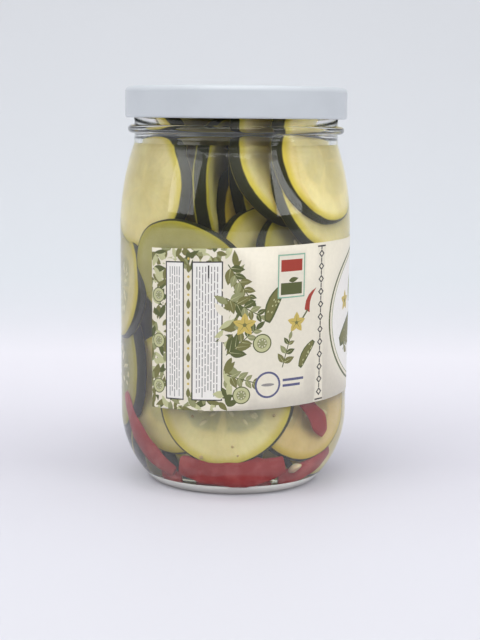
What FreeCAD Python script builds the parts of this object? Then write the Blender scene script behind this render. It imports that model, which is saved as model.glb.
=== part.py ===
import FreeCAD, Part
import math
import os

import Sketcher

# A wide-mouth jar of pickles, shut with a screw lid. Millimetres, +Z up, with the origin on the
# jar's axis at the surface it stands on. The label's open gap faces -X and its middle faces +X.

SIZES = {
    # glass, outside
    "body_radius": 47.5,        # widest, at the top of the straight side
    "body_taper": 0.5,          # how much narrower the side is at its foot
    "heel_height": 29.5,        # where the rounded heel meets the side
    "side_height": 75.5,        # straight side, from heel to shoulder
    "shoulder_height": 35.7,    # from the side up to the neck
    "neck_radius": 41.7,
    "neck_round": 8.0,          # hollow curve from shoulder to neck
    "neck_gap": 2.5,            # plain neck below the bead
    "bead_height": 3.4,         # transfer bead under the lid
    "bead_depth": 2.6,
    "finish_height": 14.9,      # from the bead to the rim
    "thread_drop": 6.5,         # from the rim down to the middle of the thread
    "thread_height": 2.6,
    "thread_depth": 2.2,
    "rim_round": 1.2,
    # foot
    "foot_radius": 34.0,        # where heel and standing plane would meet
    "foot_round": 4.0,
    "ring_width": 2.9,          # flat ring that the jar stands on
    "push_up": 2.0,             # hollow under the base
    # glass, inside
    "side_wall": 2.4,
    "finish_wall": 3.1,
    "floor_thickness": 3.9,
    "floor_round": 8.0,
    "floor_dome": 1.2,
    # contents
    "headspace": 23.5,          # from the rim down to the brine
    # lid
    "lid_metal": 0.5,
    "lid_clearance": 0.95,      # between the thread's crest and the skirt
    "lid_height": 12.6,
    "lid_round": 2.2,
    "curl_radius": 0.9,         # rolled hem at the foot of the skirt
    "panel_drop": 0.8,          # sunk panel on top of the lid
    "panel_gap": 1.0,           # between the sunk panel and the jar's mouth
    "button_radius": 13.0,
    "button_rise": 0.5,
    # label
    "label_foot_gap": 7.6,      # bare side below the label
    "label_head_gap": 4.5,      # bare side above the label
    "label_wrap": 265.5,        # degrees of the jar that the label goes round
    "label_tilt": 2.2,          # degrees by which it was stuck on askew
    "label_thickness": 0.15,
    "glue_line": 0.03,
    "trim_margin": 10.0,        # how far trimming tools reach past what they trim
}

WORKED = {
    # outer heel: an arc that leaves the side upright and comes in to the foot
    "axis": "0",
    "ground": "0",
    "side_top": "Sizes.heel_height + Sizes.side_height",
    "low_radius": "Sizes.body_radius - Sizes.body_taper",
    "heel_in": "low_radius - Sizes.foot_radius",
    "heel_radius": "(Sizes.heel_height^2 + heel_in^2) / (2 * heel_in)",
    "heel_centre": "low_radius - heel_radius",
    "foot_reach": "heel_radius - Sizes.foot_round",
    "foot_lift": "Sizes.heel_height - Sizes.foot_round",
    "ring_outer": "heel_centre + sqrt(foot_reach^2 - foot_lift^2)",
    "ring_inner": "ring_outer - Sizes.ring_width",
    "heel_end_out": "heel_centre + heel_radius * (ring_outer - heel_centre) / foot_reach",
    "heel_end_up": "Sizes.heel_height - heel_radius * foot_lift / foot_reach",
    "push_up_radius": "(ring_inner^2 + Sizes.push_up^2) / (2 * Sizes.push_up)",
    # outer shoulder: a round arc, then a hollow one that ends upright at the neck
    "shoulder_in": "Sizes.body_radius - Sizes.neck_radius",
    "shoulder_reach": "(Sizes.shoulder_height^2 + shoulder_in^2) / (2 * shoulder_in)",
    "shoulder_radius": "shoulder_reach - Sizes.neck_round",
    "shoulder_centre": "Sizes.body_radius - shoulder_radius",
    "shoulder_share": "shoulder_radius / shoulder_reach",
    "shoulder_end_out":
        "shoulder_centre + (Sizes.neck_radius + Sizes.neck_round - shoulder_centre) * shoulder_share",
    "shoulder_end_up": "side_top + Sizes.shoulder_height * shoulder_share",
    "neck_start": "side_top + Sizes.shoulder_height",
    # bead, thread and rim
    "bead_low": "neck_start + Sizes.neck_gap",
    "bead_high": "bead_low + Sizes.bead_height",
    "bead_cap": "Sizes.bead_height / 2",
    "bead_crest": "Sizes.neck_radius + Sizes.bead_depth",
    "bead_shelf": "bead_crest - bead_cap",
    "bead_middle": "bead_low + bead_cap",
    "rim": "bead_high + Sizes.finish_height",
    "rim_corner": "rim - Sizes.rim_round",
    "rim_outer": "Sizes.neck_radius - Sizes.rim_round",
    "thread_cap": "Sizes.thread_height / 2",
    "thread_middle": "rim - Sizes.thread_drop",
    "thread_low": "thread_middle - thread_cap",
    "thread_high": "thread_middle + thread_cap",
    "thread_crest": "Sizes.neck_radius + Sizes.thread_depth",
    "thread_shelf": "thread_crest - thread_cap",
    # inside of the glass: the same curves, in by the wall
    "inner_radius": "Sizes.body_radius - Sizes.side_wall",
    "inner_low": "low_radius - Sizes.side_wall",
    "inner_heel_radius": "heel_radius - Sizes.side_wall",
    "floor_reach": "inner_heel_radius - Sizes.floor_round",
    "floor_lift": "Sizes.heel_height - Sizes.floor_thickness - Sizes.floor_round",
    "floor_edge": "heel_centre + sqrt(floor_reach^2 - floor_lift^2)",
    "inner_heel_out": "heel_centre + inner_heel_radius * (floor_edge - heel_centre) / floor_reach",
    "inner_heel_up": "Sizes.heel_height - inner_heel_radius * floor_lift / floor_reach",
    "floor_middle": "Sizes.floor_thickness + Sizes.floor_dome",
    "floor_dome_radius": "(floor_edge^2 + Sizes.floor_dome^2) / (2 * Sizes.floor_dome)",
    "mouth_radius": "Sizes.neck_radius - Sizes.finish_wall",
    "mouth_lip": "mouth_radius + Sizes.rim_round",
    "mouth_end": "rim + Sizes.trim_margin",
    "inner_neck_round": "Sizes.neck_round + Sizes.side_wall",
    "inner_in": "inner_radius - mouth_radius",
    "inner_reach": "(Sizes.shoulder_height^2 + inner_in^2) / (2 * inner_in)",
    "inner_shoulder_radius": "inner_reach - inner_neck_round",
    "inner_centre": "inner_radius - inner_shoulder_radius",
    "inner_share": "inner_shoulder_radius / inner_reach",
    "inner_end_out": "inner_centre + (mouth_radius + inner_neck_round - inner_centre) * inner_share",
    "inner_end_up": "side_top + Sizes.shoulder_height * inner_share",
    "brine_level": "rim - Sizes.headspace",
    "trim_radius": "Sizes.body_radius + Sizes.trim_margin",
    # lid
    "lid_inner": "thread_crest + Sizes.lid_clearance",
    "lid_outer": "lid_inner + Sizes.lid_metal",
    "lid_top": "rim + Sizes.lid_metal",
    "lid_flat": "lid_outer - Sizes.lid_round",
    "lid_side": "lid_top - Sizes.lid_round",
    "lid_inner_round": "Sizes.lid_round - Sizes.lid_metal",
    "curl_side": "lid_top - Sizes.lid_height + Sizes.curl_radius",
    "curl_close":
        "curl_side + sqrt(Sizes.curl_radius^2 - (Sizes.curl_radius - Sizes.lid_metal)^2)",
    "panel_top": "lid_top - Sizes.panel_drop",
    "panel_under": "rim - Sizes.panel_drop",
    "mitre": "Sizes.lid_metal * (sqrt(2) - 1)",
    "step_under": "mouth_radius - Sizes.panel_gap",
    "step_top": "step_under - mitre",
    "panel_under_edge": "step_under - Sizes.panel_drop",
    "panel_edge": "step_top - Sizes.panel_drop",
    "button_top": "panel_top + Sizes.button_rise",
    "button_under": "panel_under + Sizes.button_rise",
    "button_dome":
        "(Sizes.button_radius^2 + Sizes.button_rise^2) / (2 * Sizes.button_rise)",
    # label
    "label_inner_foot": "low_radius + Sizes.glue_line",
    "label_inner_head": "Sizes.body_radius + Sizes.glue_line",
    "label_outer_foot": "label_inner_foot + Sizes.label_thickness",
    "label_outer_head": "label_inner_head + Sizes.label_thickness",
    "label_height": "Sizes.side_height - Sizes.label_foot_gap - Sizes.label_head_gap",
    "label_middle": "Sizes.heel_height + Sizes.label_foot_gap + label_height / 2",
}

doc = FreeCAD.newDocument("PickleJar")


def fill_sheet(name, cells):
    """A sheet with one row for each size: its name, its value and the name as alias."""
    sheet = doc.addObject("Spreadsheet::Sheet", name)
    for row, (alias, content) in enumerate(cells.items(), start=1):
        sheet.set(f"A{row}", alias)
        sheet.set(f"B{row}", str(content))
        sheet.setAlias(f"B{row}", alias)
    return sheet


sizes = fill_sheet("Sizes", SIZES)
worked = fill_sheet("Worked", {alias: "=" + formula for alias, formula in WORKED.items()})
doc.recompute()


def cell(alias):
    """Where a size is kept, as an expression."""
    return ("Sizes." if alias in SIZES else "Worked.") + alias


def value(alias):
    """A size's number now."""
    return float(getattr(sizes if alias in SIZES else worked, alias))


def arc_between(start, end, radius, turn, far):
    """The arc from start to end. turn is 1 to the left and -1 to the right; far takes the long way."""
    chord = end - start
    rise = math.sqrt(max(radius ** 2 - (chord.Length / 2) ** 2, 0.0))
    left = FreeCAD.Vector(-chord.y, chord.x, 0).normalize()
    centre = (start + end) * 0.5 + left * (rise * turn * (-1 if far else 1))
    first, last = (start, end) if turn > 0 else (end, start)
    angle_first = math.atan2(first.y - centre.y, first.x - centre.x)
    angle_last = math.atan2(last.y - centre.y, last.x - centre.x)
    if angle_last <= angle_first:
        angle_last += 2 * math.pi
    circle = Part.Circle(centre, FreeCAD.Vector(0, 0, 1), radius)
    return Part.ArcOfCircle(circle, angle_first, angle_last)


def outline(body, name, corners):
    """A closed outline on the body's XZ plane. Each corner is (out, up), which run straight on to
    the next corner, or (out, up, radius, turn) or (out, up, radius, turn, far) for an arc."""
    sketch = body.newObject("Sketcher::SketchObject", name)
    plane = [p for p in body.Origin.OriginFeatures if p.Role == "XZ_Plane"][0]
    sketch.AttachmentSupport = (plane, [""])
    sketch.MapMode = "FlatFace"
    places = [FreeCAD.Vector(value(c[0]), value(c[1]), 0) for c in corners]
    heads = []
    tails = []
    for i, corner in enumerate(corners):
        start, end = places[i], places[(i + 1) % len(places)]
        if len(corner) == 2:
            edge = sketch.addGeometry(Part.LineSegment(start, end))
            forward = True
        else:
            far = len(corner) > 4 and corner[4]
            edge = sketch.addGeometry(arc_between(start, end, value(corner[2]), corner[3], far))
            forward = corner[3] > 0
        heads.append((edge, 1 if forward else 2))
        tails.append((edge, 2 if forward else 1))
    for i, corner in enumerate(corners):
        sketch.addConstraint(Sketcher.Constraint("Coincident", *tails[i - 1], *heads[i]))
        for kind, alias, on_axis in (("DistanceX", corner[0], -2), ("DistanceY", corner[1], -1)):
            if alias in ("axis", "ground"):
                sketch.addConstraint(Sketcher.Constraint("PointOnObject", *heads[i], on_axis))
            else:
                pin = Sketcher.Constraint(kind, -1, 1, *heads[i], value(alias))
                number = sketch.addConstraint(pin)
                sketch.setExpression(f"Constraints[{number}]", cell(alias))
        if len(corner) > 2:
            bend = Sketcher.Constraint("Radius", heads[i][0], value(corner[2]))
            number = sketch.addConstraint(bend)
            sketch.setExpression(f"Constraints[{number}]", cell(corner[2]))
    return sketch


def turned(label, corners, wrap=None):
    """A body turned about the jar's axis: all the way round, or wrap degrees centred on +X."""
    body = doc.addObject("PartDesign::Body", label)
    body.Label = label
    sketch = outline(body, label + "_outline", corners)
    turn = body.newObject("PartDesign::Revolution", label + "_turn")
    turn.Profile = sketch
    turn.ReferenceAxis = (sketch, ["V_Axis"])
    if wrap is None:
        turn.Angle = 360.0
    else:
        turn.Midplane = True
        turn.setExpression("Angle", cell(wrap))
    sketch.Visibility = False
    return body


def cylinder(label, radius, height):
    """An upright cylinder on the standing plane, used as a trimming tool."""
    tool = doc.addObject("Part::Cylinder", label)
    tool.Label = label
    tool.setExpression("Radius", cell(radius))
    tool.setExpression("Height", cell(height))
    return tool


def combined(kind, label, base, tool):
    """A Part::Cut or Part::Common of two shapes."""
    result = doc.addObject(kind, label)
    result.Label = label
    result.Base = base
    result.Tool = tool
    result.Placement = FreeCAD.Placement()
    return result


def make_glass(cavity):
    """The glass as one piece: a turned blank, less the space inside it."""
    blank = turned("glass_blank", [
        ("axis", "push_up", "push_up_radius", -1),
        ("ring_inner", "ground"),
        ("ring_outer", "ground", "foot_round", 1),
        ("heel_end_out", "heel_end_up", "heel_radius", 1),
        ("low_radius", "heel_height"),
        ("body_radius", "side_top", "shoulder_radius", 1),
        ("shoulder_end_out", "shoulder_end_up", "neck_round", -1),
        ("neck_radius", "neck_start"),
        ("neck_radius", "bead_low"),
        ("bead_shelf", "bead_low", "bead_cap", 1),
        ("bead_crest", "bead_middle", "bead_cap", 1),
        ("bead_shelf", "bead_high"),
        ("neck_radius", "bead_high"),
        ("neck_radius", "thread_low"),
        ("thread_shelf", "thread_low", "thread_cap", 1),
        ("thread_crest", "thread_middle", "thread_cap", 1),
        ("thread_shelf", "thread_high"),
        ("neck_radius", "thread_high"),
        ("neck_radius", "rim_corner", "rim_round", 1),
        ("rim_outer", "rim"),
        ("axis", "rim"),
    ])
    return combined("Part::Cut", "glass_jar", blank, cavity)


def make_cavity():
    """The space inside the glass, open upwards through the mouth."""
    return turned("cavity", [
        ("axis", "floor_middle", "floor_dome_radius", -1),
        ("floor_edge", "floor_thickness", "floor_round", 1),
        ("inner_heel_out", "inner_heel_up", "inner_heel_radius", 1),
        ("inner_low", "heel_height"),
        ("inner_radius", "side_top", "inner_shoulder_radius", 1),
        ("inner_end_out", "inner_end_up", "inner_neck_round", -1),
        ("mouth_radius", "neck_start"),
        ("mouth_radius", "rim_corner", "rim_round", -1),
        ("mouth_lip", "rim"),
        ("mouth_lip", "mouth_end"),
        ("axis", "mouth_end"),
    ])


def make_brine(cavity):
    """The brine, filling the cavity up to its level."""
    depth = cylinder("brine_depth", "trim_radius", "brine_level")
    return combined("Part::Common", "brine", cavity, depth)


def make_lid():
    """A pressed metal cap that seats on the rim, with a sunk panel and a hem rolled inwards."""
    return turned("lid", [
        ("axis", "button_under", "button_dome", -1),
        ("button_radius", "panel_under"),
        ("panel_under_edge", "panel_under"),
        ("step_under", "rim"),
        ("lid_flat", "rim", "lid_inner_round", -1),
        ("lid_inner", "lid_side"),
        ("lid_inner", "curl_close", "curl_radius", 1, True),
        ("lid_outer", "curl_side"),
        ("lid_outer", "lid_side", "lid_round", 1),
        ("lid_flat", "lid_top"),
        ("step_top", "lid_top"),
        ("panel_edge", "panel_top"),
        ("button_radius", "panel_top", "button_dome", 1),
        ("axis", "button_top"),
    ])


def make_label():
    """A printed film on the straight side, trimmed top and bottom by two parallel tilted planes."""
    film = turned("label_film", [
        ("label_inner_foot", "heel_height"),
        ("label_outer_foot", "heel_height"),
        ("label_outer_head", "side_top"),
        ("label_inner_head", "side_top"),
    ], wrap="label_wrap")
    band = cylinder("label_band", "trim_radius", "label_height")
    band.Placement.Rotation = FreeCAD.Rotation(FreeCAD.Vector(0, -1, 0), SIZES["label_tilt"])
    half = "Worked.label_height / 2"
    band.setExpression("Placement.Rotation.Angle", "Sizes.label_tilt")
    band.setExpression("Placement.Base.x", f"sin(Sizes.label_tilt) * {half}")
    band.setExpression("Placement.Base.z", f"Worked.label_middle - cos(Sizes.label_tilt) * {half}")
    return combined("Part::Common", "label", film, band)


cavity = make_cavity()
pieces = [make_glass(cavity), make_brine(cavity), make_lid(), make_label()]
doc.recompute()

for item in doc.Objects:
    if {"Invalid", "Error"} & set(item.State):
        raise SystemExit(f"{item.Label} failed: {item.State}")
for piece in pieces:
    if piece.Shape.isNull() or not piece.Shape.isValid() or len(piece.Shape.Solids) != 1:
        raise SystemExit(f"{piece.Label} isn't one valid solid")

os.makedirs("parts", exist_ok=True)
for piece in pieces:
    piece.Shape.exportStep(f"parts/{piece.Label}.step")
    bounds = piece.Shape.optimalBoundingBox()
    print(f"{piece.Label}: {piece.Shape.Volume:.1f} mm3, z {bounds.ZMin:.2f} to {bounds.ZMax:.2f}")
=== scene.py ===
import math
import random

import bmesh
import bpy
import numpy as np
from bpy.props import FloatProperty, FloatVectorProperty, IntProperty, PointerProperty
from mathutils import Matrix, Vector
from mathutils.geometry import delaunay_2d_cdt


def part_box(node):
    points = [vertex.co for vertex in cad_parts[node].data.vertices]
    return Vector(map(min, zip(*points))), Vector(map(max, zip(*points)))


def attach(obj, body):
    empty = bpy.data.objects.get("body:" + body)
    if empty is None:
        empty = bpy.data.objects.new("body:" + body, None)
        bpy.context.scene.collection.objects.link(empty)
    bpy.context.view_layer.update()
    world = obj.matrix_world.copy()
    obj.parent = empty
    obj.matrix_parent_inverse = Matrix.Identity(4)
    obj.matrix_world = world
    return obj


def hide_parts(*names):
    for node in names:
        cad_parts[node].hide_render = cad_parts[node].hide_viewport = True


bl_info = {
    "name": "Pickle jar",
    "version": (1, 0, 0),
    "blender": (4, 5, 0),
    "location": "3D View > Sidebar > Pickle jar",
    "description": "Makes a shut jar of sliced pickles in brine around its packed frame",
    "category": "Object",
}

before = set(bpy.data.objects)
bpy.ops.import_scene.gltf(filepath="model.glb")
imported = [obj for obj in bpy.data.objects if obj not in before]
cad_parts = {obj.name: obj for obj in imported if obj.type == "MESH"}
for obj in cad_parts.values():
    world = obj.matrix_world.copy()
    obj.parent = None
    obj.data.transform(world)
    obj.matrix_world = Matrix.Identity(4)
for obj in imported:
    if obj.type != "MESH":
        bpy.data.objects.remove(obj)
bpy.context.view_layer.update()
GLASS_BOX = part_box("glass_jar")
BRINE_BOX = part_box("brine")
MM = 0.001
TURN = 2 * math.pi


# --------------------------------------------------------------------------- settings

def length(name, default, description):
    """A size in metres that the user can change."""
    return FloatProperty(
        name=name, description=description, default=default, min=0.0, precision=5, unit="LENGTH"
    )


def colour(name, default, description):
    """A linear colour that the user can change."""
    return FloatVectorProperty(
        name=name, description=description, default=default, size=3, subtype="COLOR", min=0, max=1
    )


class GlassSettings(bpy.types.PropertyGroup):
    """Sizes of the glass, measured on its outside unless said otherwise."""

    body_radius: length("Body radius", 0.0475, "Radius at the top of the straight side")
    body_taper: length("Body taper", 0.0005, "How much narrower the side is at its foot")
    heel_height: length("Heel height", 0.0295, "Height at which the heel meets the side")
    side_height: length("Side height", 0.0755, "Height of the straight side")
    shoulder_height: length("Shoulder height", 0.0357, "Rise from the side to the neck")
    neck_radius: length("Neck radius", 0.0417, "Radius of the neck")
    neck_round: length("Neck round", 0.008, "Radius of the hollow curve below the neck")
    neck_gap: length("Neck gap", 0.0025, "Plain neck below the bead")
    bead_height: length("Bead height", 0.0034, "Height of the bead under the lid")
    bead_depth: length("Bead depth", 0.0026, "How far the bead stands out")
    rim_round: length("Rim round", 0.0012, "Rounding of the rim's edges")
    foot_radius: length("Foot radius", 0.034, "Where heel and standing plane would meet")
    foot_round: length("Foot round", 0.004, "Rounding between heel and standing ring")
    ring_width: length("Ring width", 0.0029, "Width of the flat ring that the jar stands on")
    push_up: length("Push-up", 0.002, "Height of the hollow under the base")
    side_wall: length("Side wall", 0.0024, "Thickness of the side")
    finish_wall: length("Finish wall", 0.0031, "Thickness of the neck")
    floor_thickness: length("Floor thickness", 0.0039, "Thickness of the floor at its edge")
    floor_round: length("Floor round", 0.008, "Inner rounding between floor and heel")
    floor_dome: length("Floor dome", 0.0012, "Rise of the floor's middle")
    segments: IntProperty(
        name="Segments", description="Facets round the glass", default=192, min=24, max=360
    )
    tint: colour("Tint", (0.992, 0.998, 0.995), "What the glass lets through")


class BrineSettings(bpy.types.PropertyGroup):
    """The liquid between the slices."""

    reach: length("Reach", 0.0003, "How far the liquid reaches into the glass wall")
    meniscus: length("Meniscus", 0.0009, "Rise of the surface at the wall")
    absorbed: colour("Passed colour", (0.80, 0.75, 0.42), "What a thick layer lets through")
    density: FloatProperty(
        name="Density", description="How strongly the brine takes up light", default=12.0, min=0.0
    )


class LidSettings(bpy.types.PropertyGroup):
    """The lacquered metal lid."""

    lacquer: colour("Lacquer", (0.59, 0.625, 0.655), "Colour of the lid's lacquer")


class LabelSettings(bpy.types.PropertyGroup):
    """The printed film round the glass."""

    wrap: FloatProperty(
        name="Wrap", description="How far the label goes round", default=math.radians(265.5),
        subtype="ANGLE",
    )
    tilt: FloatProperty(
        name="Tilt", description="How far askew the label was stuck on",
        default=math.radians(2.2), subtype="ANGLE",
    )
    height: length("Height", 0.0634, "Height of the film")
    middle: length("Middle", 0.0688, "Height of the film's middle")
    thickness: length("Thickness", 0.00012, "Thickness of the film")
    glue: length("Glue", 0.00004, "Gap between glass and film")
    paper: colour("Paper", (0.84, 0.785, 0.65), "Unprinted ground of the label")


class SliceSettings(bpy.types.PropertyGroup):
    """The pickle slices."""

    flesh: colour("Flesh", (0.97, 0.84, 0.44), "Firm flesh near the rind")
    core: colour("Core", (0.54, 0.52, 0.30), "Soft glassy middle with the seeds")
    rind: colour("Rind", (0.80, 0.67, 0.11), "Flesh just under the peel")
    peel: colour("Peel", (0.045, 0.046, 0.018), "Thin peel at the edge")
    seed: colour("Seed", (0.95, 0.86, 0.50), "Seeds in the core")
    jumble: IntProperty(name="Jumble", description="Seed for the unevenness", default=7)


class PepperSettings(bpy.types.PropertyGroup):
    """Pepper strips, garlic and mustard seeds at the foot of the jar."""

    width: length("Width", 0.009, "Width of a pepper strip")
    thickness: length("Thickness", 0.0026, "Thickness of a pepper strip")
    red: colour("Red", (0.33, 0.008, 0.006), "Skin of the pepper")
    garlic: colour("Garlic", (0.80, 0.68, 0.50), "Garlic slivers")


class StageSettings(bpy.types.PropertyGroup):
    """Camera, floor and light."""

    distance: length("Distance", 0.580, "From the camera to the jar's axis")
    eye_height: length("Eye height", 0.1495, "Height of the camera over the floor")
    side_step: length("Side step", 0.0012, "How far the camera stands to the right")
    pitch: FloatProperty(
        name="Pitch", description="How far the camera looks down",
        default=math.radians(8.2), subtype="ANGLE",
    )
    roll: FloatProperty(
        name="Roll", description="How far the camera is tilted", default=math.radians(0.6),
        subtype="ANGLE",
    )
    lens: FloatProperty(name="Lens", description="Focal length", default=78.75, unit="CAMERA")
    backdrop: colour("Backdrop", (0.90, 0.91, 0.96), "Colour of floor and backdrop")


def settings():
    """All of the jar's settings."""
    return bpy.context.scene.pickle_jar


# --------------------------------------------------------------------------- Geometry Nodes

def input_title(key):
    """A tree input's name from a keyword."""
    return key.replace("_", " ").capitalize()


class Nodes:
    """A node tree in the making, with short ways to add nodes and links."""

    def __init__(self, graph):
        self.graph = graph

    def feed(self, socket, source):
        """Links a socket to source, or sets it if source is a plain value."""
        if isinstance(source, bpy.types.NodeSocket):
            self.graph.links.new(source, socket)
        else:
            socket.default_value = source

    def node(self, kind, feeds=None, **options):
        """Adds a node, sets its options and feeds its inputs."""
        made = self.graph.nodes.new(kind)
        for key, option in options.items():
            setattr(made, key, option)
        for key, source in (feeds or {}).items():
            self.feed(made.inputs[key], source)
        return made

    def math(self, operation, *values):
        """The result of a Math node."""
        made = self.node("ShaderNodeMath", dict(enumerate(values)), operation=operation)
        return made.outputs[0]

    def vector(self, operation, *values):
        """The result of a Vector Math node."""
        made = self.node("ShaderNodeVectorMath", dict(enumerate(values)), operation=operation)
        return made.outputs[0]

    def scaled(self, vector, factor):
        """A vector times a number."""
        made = self.node("ShaderNodeVectorMath", {0: vector, "Scale": factor}, operation="SCALE")
        return made.outputs[0]

    def combined(self, x, y, z):
        """A vector from its three parts."""
        return self.node("ShaderNodeCombineXYZ", {0: x, 1: y, 2: z}).outputs[0]

    def parts(self, vector):
        """The three parts of a vector."""
        return self.node("ShaderNodeSeparateXYZ", {0: vector}).outputs

    def spread(self, value, low, high, to_low=0.0, to_high=1.0, kind="SMOOTHSTEP"):
        """A value taken from one range to another, smoothly unless kind says otherwise."""
        made = self.node("ShaderNodeMapRange", {
            0: value, 1: low, 2: high, 3: to_low, 4: to_high,
        }, interpolation_type=kind)
        return made.outputs[0]


class Tree(Nodes):
    """A Geometry Nodes tree with named inputs."""

    def __init__(self, name, **inputs):
        super().__init__(bpy.data.node_groups.new(name, "GeometryNodeTree"))
        sockets = self.graph.interface
        sockets.new_socket("Geometry", in_out="INPUT", socket_type="NodeSocketGeometry")
        for label, kind in inputs.items():
            sockets.new_socket(input_title(label), in_out="INPUT", socket_type="NodeSocket" + kind)
        sockets.new_socket("Geometry", in_out="OUTPUT", socket_type="NodeSocketGeometry")
        self.given = self.graph.nodes.new("NodeGroupInput").outputs
        self.end = self.graph.nodes.new("NodeGroupOutput").inputs

    def attribute(self, name, kind):
        """A named attribute."""
        made = self.node("GeometryNodeInputNamedAttribute", {"Name": name}, data_type=kind)
        return made.outputs["Attribute"]

    def close(self, geometry, material):
        """Ends the tree: instances realized, smooth faces, one material."""
        real = self.node("GeometryNodeRealizeInstances", {"Geometry": geometry}).outputs[0]
        smooth = self.node("GeometryNodeSetShadeSmooth", {"Geometry": real}).outputs[0]
        dressed = self.node(
            "GeometryNodeSetMaterial", {"Geometry": smooth, "Material": material}
        )
        self.feed(self.end[0], dressed.outputs[0])


def grow(tree, source, name, **values):
    """Runs a tree on source and leaves its result as a plain mesh piece in source's place."""
    modifier = source.modifiers.new(name, "NODES")
    modifier.node_group = tree.graph
    titles = {input_title(key): value for key, value in values.items()}
    for item in tree.graph.interface.items_tree:
        if item.in_out == "INPUT" and item.name in titles:
            modifier[item.identifier] = titles[item.name]
    bpy.context.view_layer.update()
    depsgraph = bpy.context.evaluated_depsgraph_get()
    mesh = bpy.data.meshes.new_from_object(source.evaluated_get(depsgraph), depsgraph=depsgraph)
    source.modifiers.remove(modifier)
    bpy.data.objects.remove(source)
    mesh.name = name
    if not mesh.polygons:
        raise RuntimeError(f"{name} came out empty")
    return new_object(name, mesh)


def new_object(name, mesh):
    """A mesh object in the scene."""
    made = bpy.data.objects.new(name, mesh)
    bpy.context.scene.collection.objects.link(made)
    return made


def mesh_from(name, points, faces=(), edges=()):
    """A mesh from plain lists."""
    mesh = bpy.data.meshes.new(name)
    mesh.from_pydata([tuple(p) for p in points], list(edges), [tuple(f) for f in faces])
    mesh.validate()
    return mesh


def put(mesh, name, kind, values, domain="POINT"):
    """Stores one value for each point or face under a name."""
    layer = mesh.attributes.new(name, kind, domain)
    plain = np.asarray(values, dtype=np.int32 if kind == "INT" else np.float32)
    layer.data.foreach_set("vector" if kind == "FLOAT_VECTOR" else "value", plain.ravel())


def point_outwards(mesh):
    """Merges doubles and turns all faces outwards."""
    made = bmesh.new()
    made.from_mesh(mesh)
    bmesh.ops.remove_doubles(made, verts=made.verts, dist=1e-7)
    bmesh.ops.recalc_face_normals(made, faces=made.faces)
    if made.calc_volume(signed=True) < 0:
        bmesh.ops.reverse_faces(made, faces=made.faces)
    made.to_mesh(mesh)
    made.free()


def keep(piece, slot, *nodes):
    """Hands a finished piece to the frame."""
    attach(piece, "root")
    if nodes:
        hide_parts(*nodes)


def turning_tree():
    """Turns an outline, drawn as points in the XZ plane, about the Z axis."""
    tree = Tree("Turn on the axis", segments="Int", material="Material")
    geometry, segments, material = tree.given[:3]
    size = tree.node("GeometryNodeAttributeDomainSize", {"Geometry": geometry})
    columns = tree.math("ADD", segments, 1)
    grid = tree.node(
        "GeometryNodeMeshGrid", {"Vertices X": size.outputs["Point Count"], "Vertices Y": columns}
    )
    index = tree.node("GeometryNodeInputIndex").outputs[0]
    row = tree.math("FLOOR", tree.math("DIVIDE", tree.math("ADD", index, 0.5), columns))
    column = tree.math("FLOORED_MODULO", index, columns)
    place = tree.node("GeometryNodeInputPosition").outputs[0]
    outline = tree.node(
        "GeometryNodeSampleIndex", {"Geometry": geometry, "Value": place, "Index": row},
        data_type="FLOAT_VECTOR", domain="POINT",
    ).outputs[0]
    out, _, up = tree.parts(outline)
    angle = tree.math("MULTIPLY", tree.math("DIVIDE", column, segments), TURN)
    x = tree.math("MULTIPLY", out, tree.math("COSINE", angle))
    y = tree.math("MULTIPLY", out, tree.math("SINE", angle))
    turned = tree.node(
        "GeometryNodeSetPosition",
        {"Geometry": grid.outputs["Mesh"], "Position": tree.combined(x, y, up)},
    ).outputs[0]
    merged = tree.node("GeometryNodeMergeByDistance", {"Geometry": turned, "Distance": 1e-7})
    tree.close(merged.outputs[0], material)
    return tree


def turned_piece(name, outline, material):
    """A round piece from its half outline."""
    points = [(p.x, 0.0, p.y) for p in outline]
    source = new_object(name + "_outline", mesh_from(name, points))
    segments = settings().glass.segments
    piece = grow(turning_tree(), source, name, segments=segments, material=material)
    point_outwards(piece.data)
    return piece


# --------------------------------------------------------------------------- outlines

def arc(start, end, radius, turn, steps):
    """Points after start, up to end, on an arc that bends left if turn is 1 and right if -1."""
    chord = end - start
    rise = math.sqrt(max(radius ** 2 - (chord.length / 2) ** 2, 0.0))
    left = Vector((-chord.y, chord.x)).normalized()
    centre = (start + end) / 2 + left * rise * turn
    first = start - centre
    sweep = 2 * math.asin(min(chord.length / 2 / radius, 1.0)) * turn
    points = []
    for step in range(1, steps + 1):
        angle = sweep * step / steps
        spun = Vector((
            first.x * math.cos(angle) - first.y * math.sin(angle),
            first.x * math.sin(angle) + first.y * math.cos(angle),
        ))
        points.append(centre + spun)
    return points


def heel_curve(glass, inset, floor, rounding):
    """The flat's edge, the end of its rounding and the heel's radius, inset from the outside."""
    low_radius = glass.body_radius - glass.body_taper
    heel_in = low_radius - glass.foot_radius
    radius = (glass.heel_height ** 2 + heel_in ** 2) / (2 * heel_in)
    centre = low_radius - radius
    reach = radius - inset - rounding
    lift = glass.heel_height - floor - rounding
    flat = centre + math.sqrt(reach ** 2 - lift ** 2)
    share = (radius - inset) / reach
    end = Vector((centre + (flat - centre) * share, glass.heel_height - lift * share))
    return flat, end, radius - inset


def shoulder_curve(glass, inset, opening, rounding):
    """The end of the shoulder's round arc and its radius, inset from the outside."""
    width = glass.body_radius - inset - opening
    reach = (glass.shoulder_height ** 2 + width ** 2) / (2 * width)
    radius = reach - rounding
    centre = glass.body_radius - inset - radius
    share = radius / reach
    side_top = glass.heel_height + glass.side_height
    out = centre + (opening + rounding - centre) * share
    return Vector((out, side_top + glass.shoulder_height * share)), radius


def dome_radius(edge, rise):
    """The radius of a shallow dome."""
    return (edge ** 2 + rise ** 2) / (2 * rise)


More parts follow.
